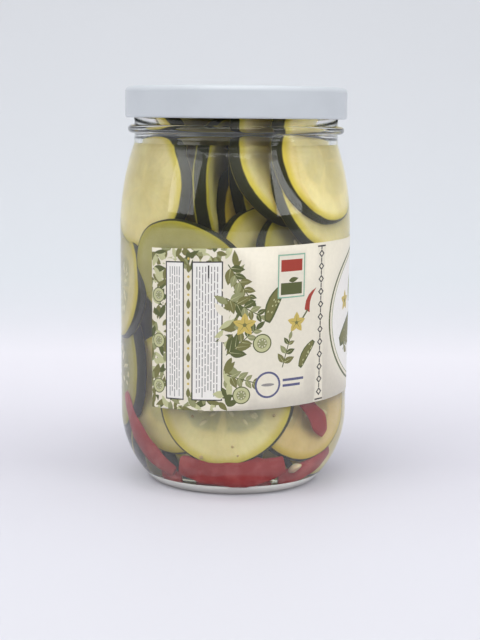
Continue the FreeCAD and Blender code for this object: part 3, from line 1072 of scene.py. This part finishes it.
def pebble_tree():
    """Lays an uneven pebble on every point."""
    tree = Tree("Lay pebbles", unevenness="Float", seed="Int", material="Material")
    geometry, unevenness, seed, material = tree.given[:4]
    ball = tree.node("GeometryNodeMeshIcoSphere", {"Radius": 1.0, "Subdivisions": 3}).outputs[0]
    turn = tree.node("FunctionNodeRandomValue", {
        0: (0.0, 0.0, 0.0), 1: (TURN, TURN, TURN), "Seed": seed,
    }, data_type="FLOAT_VECTOR")
    laid = tree.node("GeometryNodeInstanceOnPoints", {
        "Points": geometry, "Instance": ball, "Rotation": turn.outputs[0],
        "Scale": tree.attribute("size", "FLOAT_VECTOR"),
    })
    real = tree.node("GeometryNodeRealizeInstances", {"Geometry": laid.outputs[0]}).outputs[0]
    lump = tree.node("ShaderNodeTexNoise", {"Scale": 260.0, "Detail": 1.0}).outputs["Fac"]
    out = tree.math("MULTIPLY", tree.math("SUBTRACT", lump, 0.5), unevenness)
    normal = tree.node("GeometryNodeInputNormal").outputs[0]
    moved = tree.node("GeometryNodeSetPosition", {
        "Geometry": real, "Offset": tree.scaled(normal, out),
    })
    tree.close(moved.outputs[0], material)
    return tree


def pebble_points(name, rows):
    """Points with a size in metres for the pebble tree, from rows of place and size."""
    mesh = mesh_from(name, [row[0] for row in rows])
    put(mesh, "size", "FLOAT_VECTOR", [row[1] for row in rows])
    return mesh


# --------------------------------------------------------------------------- label print

def linear(*shades):
    """A linear colour from three screen values of 0 to 255."""
    scaled = [shade / 255 for shade in shades]
    return tuple(c / 12.92 if c <= 0.04045 else ((c + 0.055) / 1.055) ** 2.4 for c in scaled)


INKS = {
    "paper": linear(236, 230, 218),
    "white": linear(243, 240, 234),
    "olive": linear(122, 120, 72),
    "moss": linear(92, 98, 58),
    "sage": linear(150, 152, 108),
    "pale": linear(196, 196, 150),
    "grey": linear(150, 146, 142),
    "dark": linear(66, 64, 62),
    "straw": linear(205, 182, 98),
    "red": linear(168, 66, 52),
    "mint": linear(140, 182, 156),
    "navy": linear(96, 98, 132),
}


class Print:
    """The label's print: outlines in mm, each with an ink, later ones on top."""

    def __init__(self, seed):
        self.shapes = []
        self.rng = random.Random(seed)

    def shape(self, ink, points):
        """Adds a filled outline, which has to run to the left."""
        ahead = points[1:] + points[:1]
        area = sum(a * d - b * c for (a, b), (c, d) in zip(points, ahead))
        self.shapes.append((ink, points if area > 0 else points[::-1]))

    def moved(self, points, u, v, angle=0.0):
        """Points turned and moved."""
        c, s = math.cos(angle), math.sin(angle)
        return [(u + x * c - y * s, v + x * s + y * c) for x, y in points]

    def lay(self, ink, points, u, v, angle=0.0):
        """Adds a filled outline, turned and moved."""
        self.shape(ink, self.moved(points, u, v, angle))

    def box(self, ink, u, v, wide, high, angle=0.0):
        """A filled rectangle about its middle."""
        x, y = wide / 2, high / 2
        self.lay(ink, [(-x, -y), (x, -y), (x, y), (-x, y)], u, v, angle)

    def oval(self, ink, u, v, wide, high, angle=0.0, steps=22, uneven=0.0):
        """A filled oval about its middle."""
        points = []
        for step in range(steps):
            a = TURN * step / steps
            out = 1 + self.rng.uniform(-uneven, uneven)
            points.append((wide / 2 * math.cos(a) * out, high / 2 * math.sin(a) * out))
        self.lay(ink, points, u, v, angle)

    def leaf(self, ink, u, v, angle, long=6.0, wide=2.6, vein=None):
        """A pointed leaf from its stalk."""
        shares = (0.12, 0.28, 0.45, 0.62, 0.8)
        side = [(long * t, wide / 2 * math.sin(math.pi * t ** 0.8)) for t in shares]
        points = [(0, 0)] + side + [(long, 0)] + [(x, -y) for x, y in reversed(side)]
        self.lay(ink, points, u, v, angle)
        if vein:
            self.lay(vein, [(0.3, -0.12), (long * 0.85, 0), (0.3, 0.12)], u, v, angle)

    def stem(self, ink, points, wide=0.5):
        """A thin line through points."""
        for (a, b), (c, d) in zip(points, points[1:]):
            run, angle = math.hypot(c - a, d - b), math.atan2(d - b, c - a)
            self.box(ink, (a + c) / 2, (b + d) / 2, run + wide * 0.6, wide, angle)

    def spray(self, u, v, angle, long, inks=("olive", "moss", "sage"), leaf=5.0):
        """A stem with leaves on both sides."""
        end = (u + long * math.cos(angle), v + long * math.sin(angle))
        self.stem("moss", [(u, v), end], 0.4)
        count = max(3, int(long / 3.0))
        for step in range(count):
            share = (step + 0.5) / count
            for side in (-1, 1):
                size = leaf * (1.1 - 0.5 * share) * self.rng.uniform(0.85, 1.15)
                self.leaf(
                    self.rng.choice(inks), u + (end[0] - u) * share, v + (end[1] - v) * share,
                    angle + side * self.rng.uniform(0.6, 1.0), size, size * 0.52, "pale",
                )
        self.leaf(self.rng.choice(inks), end[0], end[1], angle, leaf * 0.8, leaf * 0.34)

    def gherkin(self, u, v, angle, long=17.0, wide=6.0):
        """A whole small cucumber with pale flecks."""
        top = []
        for t in (0, 0.1, 0.25, 0.4, 0.6, 0.75, 0.9, 1):
            girth = wide / 2 * math.sin(math.pi * (0.06 + 0.88 * t)) ** 0.5
            top.append((long * (t - 0.5), girth + 0.9 * math.sin(math.pi * t)))
        low = [(x, -y + 1.8 * math.sin(math.pi * (x / long + 0.5))) for x, y in reversed(top)]
        self.lay("moss", top + low, u, v, angle)
        self.lay("olive", [(x * 0.9, y * 0.72 + 0.3) for x, y in top + low], u, v, angle)
        for _ in range(9):
            x, y = self.rng.uniform(-0.38, 0.38) * long, self.rng.uniform(-0.25, 0.35) * wide
            spot = self.moved([(x, y)], u, v, angle)[0]
            self.oval("pale", *spot, 0.9, 0.5, angle, 8)

    def round_slice(self, u, v, wide=9.0):
        """A round of cucumber."""
        self.oval("moss", u, v, wide, wide, steps=24)
        self.oval("pale", u, v, wide * 0.88, wide * 0.88, steps=24)
        self.oval("sage", u, v, wide * 0.55, wide * 0.55, steps=18)
        for step in range(8):
            a = TURN * step / 8
            x, y = u + wide * 0.19 * math.cos(a), v + wide * 0.19 * math.sin(a)
            self.oval("paper", x, y, wide * 0.10, wide * 0.05, a, 8)

    def bloom(self, u, v, wide=10.0):
        """A yellow flower with five petals."""
        for step in range(5):
            self.leaf("straw", u, v, TURN * step / 5 + 0.3, wide / 2, wide * 0.3, "olive")
        self.oval("olive", u, v, wide * 0.16, wide * 0.16, steps=12)

    def chilli(self, u, v, angle, long=13.0):
        """A red chilli with its stalk."""
        top, low = [], []
        for t in (0, 0.15, 0.35, 0.6, 0.8, 1.0):
            x = long * t
            top.append((x, 1.6 * (1 - t) ** 0.6 + 1.6 * math.sin(math.pi * t)))
            y = 1.6 * math.sin(math.pi * x / long) - 1.3 * (1 - x / long) ** 0.6
            low.insert(0, (x, y))
        self.lay("red", top + low, u, v, angle)
        self.stem("moss", self.moved([(0.4, 0.2), (-3.0, 0.9)], u, v, angle), 0.7)

    def ring(self, ink, u, v, wide, line, ground="paper"):
        """A plain ring."""
        self.oval(ink, u, v, wide, wide, steps=32)
        self.oval(ground, u, v, wide - 2 * line, wide - 2 * line, steps=32)

    def panel(self, u, v, wide, high, rows, ink="grey"):
        """A white framed panel with plain upright bars in place of small print."""
        self.box("dark", u, v, wide, high)
        self.box("white", u, v, wide - 1.0, high - 1.0)
        pitch = (wide - 3.0) / rows
        for row in range(rows):
            x = u - wide / 2 + 1.5 + pitch * (row + 0.5)
            start = v + high / 2 - 2.0
            while start > v - high / 2 + 4.0:
                run = self.rng.uniform(1.2, 4.2)
                self.box(ink, x, start - run / 2, pitch * 0.34, run)
                start -= run + 0.55
            if self.rng.random() < 0.15:
                self.box("dark", x, v + high / 2 - 4.0, pitch * 0.5, 5.0)

    def foliage(self, low_u, high_u, low_v, high_v, count):
        """A thicket of leaves in a field."""
        for _ in range(count):
            u, v = self.rng.uniform(low_u, high_u), self.rng.uniform(low_v, high_v)
            ink = self.rng.choice(("olive", "olive", "moss", "sage", "paper", "pale"))
            angle, long = self.rng.uniform(0, TURN), self.rng.uniform(4.0, 7.5)
            self.leaf(ink, u, v, angle, long, self.rng.uniform(1.6, 3.0))


def drawn_label(high):
    """The whole print, from the left end of the label to the right."""
    p = Print(21)
    p.foliage(-111.5, -102.5, 0, high, 120)
    p.foliage(-103, -77, high - 5, high, 46)
    p.foliage(-103, -77, 0, 4.0, 42)
    for v in (9, 27, 45):
        p.round_slice(-106.5, v, 6.0)
    p.panel(-98.8, high / 2 - 0.5, 8.2, high - 9.0, 5)
    for v in range(5, 60, 7):
        p.leaf("olive", -92.8, v, math.pi / 2, 4.0, 1.8)
        p.oval("straw", -92.8, v + 5.5, 1.1, 1.1, 0.0, 8)
    p.panel(-85.2, high / 2 - 0.5, 12.4, high - 9.0, 8)
    p.foliage(-78.5, -73.5, 4, high - 6, 52)
    p.spray(-77.0, 57, -1.0, 16, leaf=5.6)
    p.spray(-77.5, 44, -0.5, 15, leaf=6.0)
    p.spray(-77.5, 22, 0.7, 15, leaf=6.0)
    p.spray(-77.0, 14, -0.3, 12, leaf=5.0)
    p.bloom(-70.5, 33.5, 9.5)
    p.round_slice(-71.5, 6.0, 7.0)
    p.gherkin(-58.5, 41.0, 1.15, 15, 5.2)
    p.round_slice(-63.5, 26.0, 7.5)
    p.ring("navy", -61.0, 9.5, 10.5, 0.8)
    p.oval("grey", -61.0, 9.5, 5.4, 1.2, 0.0, 12)
    p.box("navy", -50.0, 10.8, 9.5, 1.0)
    p.box("navy", -50.8, 8.6, 7.9, 1.0)
    p.box("mint", -51.5, 51.5, 12.0, 17.0)
    p.box("paper", -51.5, 51.5, 11.0, 16.0)
    p.box("red", -51.5, 55.6, 9.4, 4.6)
    p.box("moss", -51.5, 46.6, 9.4, 4.6)
    p.leaf("moss", -52.8, 49.6, 0.2, 4.4, 2.0)
    p.bloom(-49.0, 33.0, 8.5)
    p.spray(-55.0, 16, 1.3, 11, leaf=4.6)
    p.gherkin(-43.6, 20.0, 0.95, 12, 3.8)
    p.chilli(-43.8, 37.0, 1.1, 10)
    for step in range(12):
        v = 4 + step * 5
        p.box("dark", -36.6, v, 2.3, 2.3, math.pi / 4)
        p.box("paper", -36.6, v, 1.2, 1.2, math.pi / 4)
        p.box("dark", -36.6, v + 2.5, 0.6, 1.7)
    for v in (1.0, 62.0):
        p.box("dark", -36.6, v, 4.6, 0.6)
    p.oval("moss", 0, high / 2, 62, 56, steps=64)
    p.oval("paper", 0, high / 2, 60, 54, steps=64)
    p.oval("sage", 0, high / 2, 57.5, 51.5, steps=64)
    p.oval("white", 0, high / 2, 56.7, 50.7, steps=64)
    p.gherkin(-9, 26, 0.35, 26, 9)
    p.gherkin(8, 34, -0.30, 24, 8.4)
    p.round_slice(-4, 42, 12)
    p.round_slice(12, 22, 11)
    p.spray(-17, 18, 0.5, 18)
    p.spray(17, 46, 3.6, 16)
    p.bloom(-16, 38, 9)
    p.chilli(-2, 13.5, 0.1, 12)
    for v in (8, 20, 44, 56):
        p.spray(34, v, math.pi / 2 - 1.2, 9)
    p.panel(52, high / 2, 20, 46, 9)
    p.spray(66, 10, 1.2, 16)
    p.round_slice(67, 34, 8.5)
    p.gherkin(67, 48, 0.9, 15, 5.4)
    for step in range(24):
        p.box("dark", 78 + step * 0.75, 14, (0.25, 0.45, 0.3)[step % 3], 14)
    p.bloom(86, 34, 11)
    p.spray(78, 44, 0.5, 17)
    p.spray(98, 8, 1.4, 18)
    p.foliage(104, 115.8, 0, high, 90)
    for v in (12, 30, 48):
        p.round_slice(109.5, v, 7.0)
    return p.shapes


def flat_label(width, high):
    """The label's print as one flat mesh in mm, with a number for the ink of each face."""
    names = list(INKS)
    left, right = -width / 2, width / 2
    points = [Vector(c) for c in ((left, 0), (right, 0), (right, high), (left, high))]
    faces = [[0, 1, 2, 3]]
    inks = [0]
    for ink, outline in drawn_label(high):
        start = len(points)
        if max(u for u, _ in outline) <= left or min(u for u, _ in outline) >= right:
            continue
        points += [Vector(p) for p in outline]
        faces.append(list(range(start, len(points))))
        inks.append(names.index(ink))
    edges = []
    columns = int(width / 2.0)
    for column in range(1, columns):
        u = left + width * column / columns
        edges.append((len(points), len(points) + 1))
        points += [Vector((u, 0.0)), Vector((u, high))]
    made = delaunay_2d_cdt(points, edges, faces, 1, 1e-4, True)
    out_points, _, out_faces, _, _, origins = made
    kept, numbers = [], []
    for face, origin in zip(out_faces, origins):
        if 0 in origin:
            kept.append(face)
            numbers.append(inks[max(origin)])
    mesh = mesh_from("flat_label", [(p.x, p.y, 0.0) for p in out_points], kept)
    put(mesh, "ink_number", "INT", numbers, "FACE")
    return mesh


def wrap_tree():
    """Wraps a flat print round the jar and gives it a thickness."""
    tree = Tree(
        "Wrap on jar", radius="Float", taper="Float", low="Float", tall="Float", bottom="Float",
        tilt="Float", thickness="Float", material="Material",
    )
    geometry, radius, taper, low, tall, bottom, tilt, thickness, material = tree.given[:9]
    metres = tree.scaled(tree.node("GeometryNodeInputPosition").outputs[0], MM)
    along, up, _ = tree.parts(metres)
    angle = tree.math("DIVIDE", along, radius)
    height = tree.math("ADD", up, bottom)
    side = tree.math("MULTIPLY", radius, tree.math("COSINE", angle))
    height = tree.math("MULTIPLY_ADD", side, tree.math("TANGENT", tilt), height)
    climb = tree.math("DIVIDE", tree.math("SUBTRACT", height, low), tall)
    out = tree.math("MULTIPLY_ADD", tree.math("SUBTRACT", climb, 1.0), taper, radius)
    place = tree.combined(
        tree.math("MULTIPLY", out, tree.math("COSINE", angle)),
        tree.math("MULTIPLY", out, tree.math("SINE", angle)), height,
    )
    wrapped = tree.node("GeometryNodeSetPosition", {"Geometry": geometry, "Position": place})
    raised = tree.node("GeometryNodeExtrudeMesh", {
        "Mesh": wrapped.outputs[0], "Offset Scale": thickness, "Individual": False,
    }, mode="FACES")
    under = tree.node("GeometryNodeFlipFaces", {"Mesh": wrapped.outputs[0]})
    both = tree.node("GeometryNodeJoinGeometry")
    tree.feed(both.inputs[0], raised.outputs["Mesh"])
    tree.feed(both.inputs[0], under.outputs[0])
    merged = tree.node(
        "GeometryNodeMergeByDistance", {"Geometry": both.outputs[0], "Distance": 1e-6}
    )
    tree.close(merged.outputs[0], material)
    return tree


def ink_faces(mesh, paper):
    """Turns the ink number of each face into a colour."""
    numbers = np.zeros(len(mesh.polygons), dtype=np.int32)
    mesh.attributes["ink_number"].data.foreach_get("value", numbers)
    table = np.ones((len(INKS), 4), dtype=np.float32)
    table[:, :3] = list(INKS.values())
    table[0, :3] = tuple(paper)
    counts = np.zeros(len(mesh.polygons), dtype=np.int32)
    mesh.polygons.foreach_get("loop_total", counts)
    layer = mesh.color_attributes.new("ink", "FLOAT_COLOR", "CORNER")
    layer.data.foreach_set("color", np.repeat(table[numbers], counts, axis=0).ravel())


# --------------------------------------------------------------------------- operators

class JAR_OT_glass(bpy.types.Operator):
    """Blow the glass jar."""

    bl_idname = "pickle_jar.glass"
    bl_label = "Glass jar"

    def execute(self, context):
        glass = settings().glass
        outline = outer_outline(glass) + list(reversed(inner_outline(glass, 0.0)))
        piece = turned_piece("glass_body", outline, glass_material(tuple(glass.tint)))
        keep(piece, "glass", "glass_jar")
        # A pale opaque band just inside the heel, whose colour paints the glow of light gathered
        # in the thick foot.
        heel = [p for p in outer_outline(glass) if 0.0003 < p.y < 0.0047 and p.x > 0.030]
        skin = [p + Vector((-0.0003, 0.0002)) for p in heel]
        back = [p + Vector((-0.0009, 0.0003)) for p in reversed(heel)]
        frost = turned_piece("foot_frost", [*skin, *back, skin[0]], frost_material())
        keep(frost, "glass")
        return {"FINISHED"}


class JAR_OT_brine(bpy.types.Operator):
    """Pour in the brine."""

    bl_idname = "pickle_jar.brine"
    bl_label = "Brine"

    def execute(self, context):
        glass, brine = settings().glass, settings().brine
        level = BRINE_BOX[1].z
        wall = [p for p in inner_outline(glass, brine.reach) if p.y < level - 0.0015]
        edge = float(cavity_radius(glass, level)) + brine.reach
        surface = []
        for step in range(9):
            back = step / 8
            rise = brine.meniscus * (1 - back) ** 2.4
            surface.append(Vector((edge - 0.0032 * back, level + rise)))
        outline = wall + surface + [Vector((0.0, level))]
        piece = turned_piece(
            "brine_liquid", outline, brine_material(tuple(brine.absorbed), brine.density)
        )
        keep(piece, "brine", "brine")
        return {"FINISHED"}


class JAR_OT_lid(bpy.types.Operator):
    """Lacquer the lid."""

    bl_idname = "pickle_jar.lid"
    bl_label = "Lid"

    def execute(self, context):
        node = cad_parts["lid"]
        node.data.materials.clear()
        node.data.materials.append(lacquer_material(tuple(settings().lid.lacquer)))
        return {"FINISHED"}


class JAR_OT_label(bpy.types.Operator):
    """Print the label and wrap it round the jar."""

    bl_idname = "pickle_jar.label"
    bl_label = "Label"

    def execute(self, context):
        glass, label = settings().glass, settings().label
        radius = glass.body_radius + label.glue
        high = label.height / MM
        source = new_object("flat_label", flat_label(label.wrap * radius / MM, high))
        piece = grow(
            wrap_tree(), source, "label_film", radius=radius, taper=glass.body_taper,
            low=glass.heel_height, tall=glass.side_height, tilt=label.tilt,
            bottom=label.middle - label.height / 2, thickness=label.thickness,
            material=label_material(),
        )
        ink_faces(piece.data, label.paper)
        keep(piece, "label", "label")
        return {"FINISHED"}


def sink_seeds(points):
    """Hides the seeds of slices whose core is firm, by drawing them in below the faces."""
    for size, core in zip(points.attributes["size"].data, points.attributes["core"].data):
        if core.value < 0.45:
            size.vector.z *= 0.75


class JAR_OT_slices(bpy.types.Operator):
    """Pack the pickle slices and their seeds into the jar."""

    bl_idname = "pickle_jar.slices"
    bl_label = "Pickle slices"

    def execute(self, context):
        glass, s = settings().glass, settings().slices
        points = slice_points(s, glass)
        tree = slice_tree()
        made = (
            ("pickle_slices", blank_slice(), slice_material(s)),
            ("pickle_seeds", blank_seeds(s.jumble), seed_material(s.seed)),
        )
        for name, blank, material in made:
            blank_object = new_object(blank.name, blank)
            source = new_object(name + "_points", points.copy())
            if name == "pickle_seeds":
                sink_seeds(source.data)
            piece = grow(
                tree, source, name, blank=blank_object, unevenness=0.16, ripple=0.0011,
                material=material,
            )
            bpy.data.objects.remove(blank_object)
            keep(piece, "brine")
        return {"FINISHED"}


class JAR_OT_peppers(bpy.types.Operator):
    """Lay the pepper strips, garlic and mustard seeds."""

    bl_idname = "pickle_jar.peppers"
    bl_label = "Peppers and spice"

    def execute(self, context):
        glass, s = settings().glass, settings().peppers
        points, edges, girths = [], [], []
        for girth, *path in PEPPER_STRIPS:
            start = len(points)
            points += [wall_place(glass, *spot) for spot in path]
            girths += [girth] * len(path)
            edges += [(k, k + 1) for k in range(start, len(points) - 1)]
        source = new_object("strip_lines", mesh_from("strip_lines", points, (), edges))
        put(source.data, "girth", "FLOAT", girths)
        piece = grow(
            strip_tree(), source, "pepper_strips", width=s.width, thickness=s.thickness,
            material=pepper_material(s.red),
        )
        keep(piece, "brine")
        rng = random.Random(11)
        bits = [
            (wall_place(glass, 39, 1.6, 11.5), (0.0024, 0.0018, 0.0034)),
            (wall_place(glass, -120, 3.0, 18), (0.0036, 0.0022, 0.0042)),
            (wall_place(glass, 150, 3.0, 16), (0.0030, 0.0020, 0.0040)),
        ]
        seeds = []
        for _ in range(40):
            facing, height = rng.uniform(-180, 180), 6 + 40 * rng.random() ** 2.2
            size = rng.uniform(0.0004, 0.0008)
            place = wall_place(glass, facing, rng.uniform(1.0, 3.0), height)
            seeds.append((place, (size, size, size)))
        kinds = (
            ("garlic_bits", bits, 0.0014, 4, s.garlic),
            ("mustard_seeds", seeds, 0.0002, 5, (0.62, 0.50, 0.24)),
        )
        for name, rows, unevenness, seed, shade in kinds:
            source = new_object(name + "_points", pebble_points(name + "_points", rows))
            piece = grow(
                pebble_tree(), source, name, unevenness=unevenness, seed=seed,
                material=garlic_material(shade),
            )
            keep(piece, "brine")
        return {"FINISHED"}


class JAR_OT_stage(bpy.types.Operator):
    """Set up the floor, the light and the camera."""

    bl_idname = "pickle_jar.stage"
    bl_label = "Floor, light and camera"

    def execute(self, context):
        stage = settings().stage
        scene = context.scene
        scene.view_settings.view_transform = "Standard"
        add_camera(scene, stage)
        add_floor(stage)
        add_lamps(scene)
        return {"FINISHED"}


def add_camera(scene, stage):
    """The camera, level with the lid and looking slightly down."""
    data = bpy.data.cameras.new("camera")
    data.lens = stage.lens
    data.sensor_width = 36.0
    data.clip_start = 0.01
    camera = bpy.data.objects.new("camera", data)
    scene.collection.objects.link(camera)
    tilt = Matrix.Rotation(math.pi / 2 - stage.pitch, 4, "X")
    roll = Matrix.Rotation(stage.roll, 4, "Z")
    place = Matrix.Translation((stage.side_step, -stage.distance, stage.eye_height))
    camera.matrix_world = place @ tilt @ roll
    data.shift_x = 0.0046875
    scene.camera = camera


def add_floor(stage):
    """A pale floor that sweeps up into the backdrop."""
    width, near, far, bend, top = 5.0, -2.4, 0.45, 0.5, 1.6
    outline = [(near, 0.0), (far, 0.0)]
    for step in range(1, 13):
        angle = math.pi / 2 * step / 12
        outline.append((far + bend * math.sin(angle), bend - bend * math.cos(angle)))
    outline.append((far + bend, top))
    points = [(side * width / 2, y, z) for y, z in outline for side in (-1, 1)]
    faces = [(k, k + 1, k + 3, k + 2) for k in range(0, 2 * len(outline) - 2, 2)]
    floor = new_object("floor", mesh_from("floor", points, faces))
    for face in floor.data.polygons:
        face.use_smooth = True
    floor.data.materials.append(floor_material(tuple(stage.backdrop)))


def floor_material(base):
    """Matt paint with painted light: darker in front and at the jar, a painted pool of light in a
    band behind it, and a painted glow which glass sees without the shadows.
    """
    finish = Finish("floor_paint", base, roughness=0.6)
    start, reach = 0.3, 1.6
    _, away, up = finish.parts(finish.place())
    along = finish.math("ADD", away, up)
    ramp = finish.node("ShaderNodeValToRGB", {
        0: finish.math("MULTIPLY_ADD", along, 1 / reach, start / reach),
    })
    # Painted light and shade along the floor and up the backdrop.
    stops = (
        (-0.25, (0.74, 0.73, 0.73)), (-0.12, (0.76, 0.75, 0.76)), (0.02, (0.77, 0.75, 0.77)),
        (0.30, (0.98, 0.95, 0.95)), (0.60, (0.90, 0.925, 0.91)), (1.20, (0.88, 0.89, 0.87)),
    )
    band = ramp.color_ramp.elements
    while len(band) < len(stops):
        band.new(0.5)
    for element, (place, shade) in zip(band, stops):
        element.position = (place + start) / reach
        element.color = (*toned(shade, base), 1.0)
    finish.paint(ramp.outputs[0])
    # The floor glows for rays through glass, as painted light.
    path = finish.node("ShaderNodeLightPath")
    glow = finish.node("ShaderNodeEmission", {"Color": ramp.outputs[0], "Strength": 0.85})
    mix = finish.node("ShaderNodeMixShader", {
        0: finish.math("MULTIPLY", path.outputs["Is Transmission Ray"], 0.6),
        1: finish.shader.outputs[0], 2: glow.outputs[0],
    })
    finish.feed(finish.output.inputs["Surface"], mix.outputs[0])
    return finish.material


def add_lamp(scene, name, place, target, size, power):
    """A soft square white lamp that faces a target."""
    data = bpy.data.lights.new(name, "AREA")
    data.size = size
    data.energy = power
    lamp = bpy.data.objects.new(name, data)
    scene.collection.objects.link(lamp)
    lamp.location = place
    lamp.rotation_euler = (Vector(target) - Vector(place)).to_track_quat("-Z", "Y").to_euler()
    return lamp


def add_lamps(scene):
    """A soft world with a large lamp above and two weak ones at the sides."""
    world = bpy.data.worlds.new("studio")
    scene.world = world
    world.use_nodes = True
    graph = Nodes(world.node_tree)
    _, away, up = graph.parts(graph.node("ShaderNodeTexCoord").outputs["Generated"])
    behind = graph.spread(away, -0.75, 0.15, 0.16, 0.55)
    above = graph.spread(up, 0.25, 0.8, 0.0, 0.45, kind="LINEAR")
    background = world.node_tree.nodes["Background"]
    graph.feed(background.inputs["Color"], (0.95, 0.96, 1.0, 1.0))
    graph.feed(background.inputs["Strength"], graph.math("ADD", behind, above))
    add_lamp(scene, "top_lamp", (-0.1, -0.55, 1.25), (0, 0, 0.05), 1.1, 9.5)
    sides = (
        add_lamp(scene, "left_lamp", (-0.9, -0.6, 0.5), (0, 0, 0.08), 0.6, 2.2),
        add_lamp(scene, "right_lamp", (0.9, -0.6, 0.5), (0, 0, 0.08), 0.6, 3.0),
    )
    for lamp in sides:
        lamp.visible_glossy = False


class JarSettings(bpy.types.PropertyGroup):
    """Everything that can be changed about the jar."""

    glass: PointerProperty(type=GlassSettings)
    brine: PointerProperty(type=BrineSettings)
    lid: PointerProperty(type=LidSettings)
    label: PointerProperty(type=LabelSettings)
    slices: PointerProperty(type=SliceSettings)
    peppers: PointerProperty(type=PepperSettings)
    stage: PointerProperty(type=StageSettings)


OPERATORS = (
    JAR_OT_stage, JAR_OT_glass, JAR_OT_brine, JAR_OT_lid, JAR_OT_label, JAR_OT_slices,
    JAR_OT_peppers,
)


class JAR_PT_panel(bpy.types.Panel):
    """Lists the steps that make the jar."""

    bl_label = "Pickle jar"
    bl_idname = "JAR_PT_panel"
    bl_space_type = "VIEW_3D"
    bl_region_type = "UI"
    bl_category = "Pickle jar"

    def draw(self, context):
        for operator in OPERATORS:
            self.layout.operator(operator.bl_idname)


CLASSES = (
    GlassSettings, BrineSettings, LidSettings, LabelSettings, SliceSettings, PepperSettings,
    StageSettings, JarSettings, *OPERATORS, JAR_PT_panel,
)


def register():
    """Makes the settings, operators and panel known to Blender."""
    for item in CLASSES:
        bpy.utils.register_class(item)
    bpy.types.Scene.pickle_jar = PointerProperty(type=JarSettings)


def unregister():
    """Takes them away again."""
    del bpy.types.Scene.pickle_jar
    for item in reversed(CLASSES):
        bpy.utils.unregister_class(item)


def main():
    """Makes the whole jar."""
    register()
    for operator in OPERATORS:
        group, name = operator.bl_idname.split(".")
        getattr(getattr(bpy.ops, group), name)()


if __name__ == "__main__":
    main()
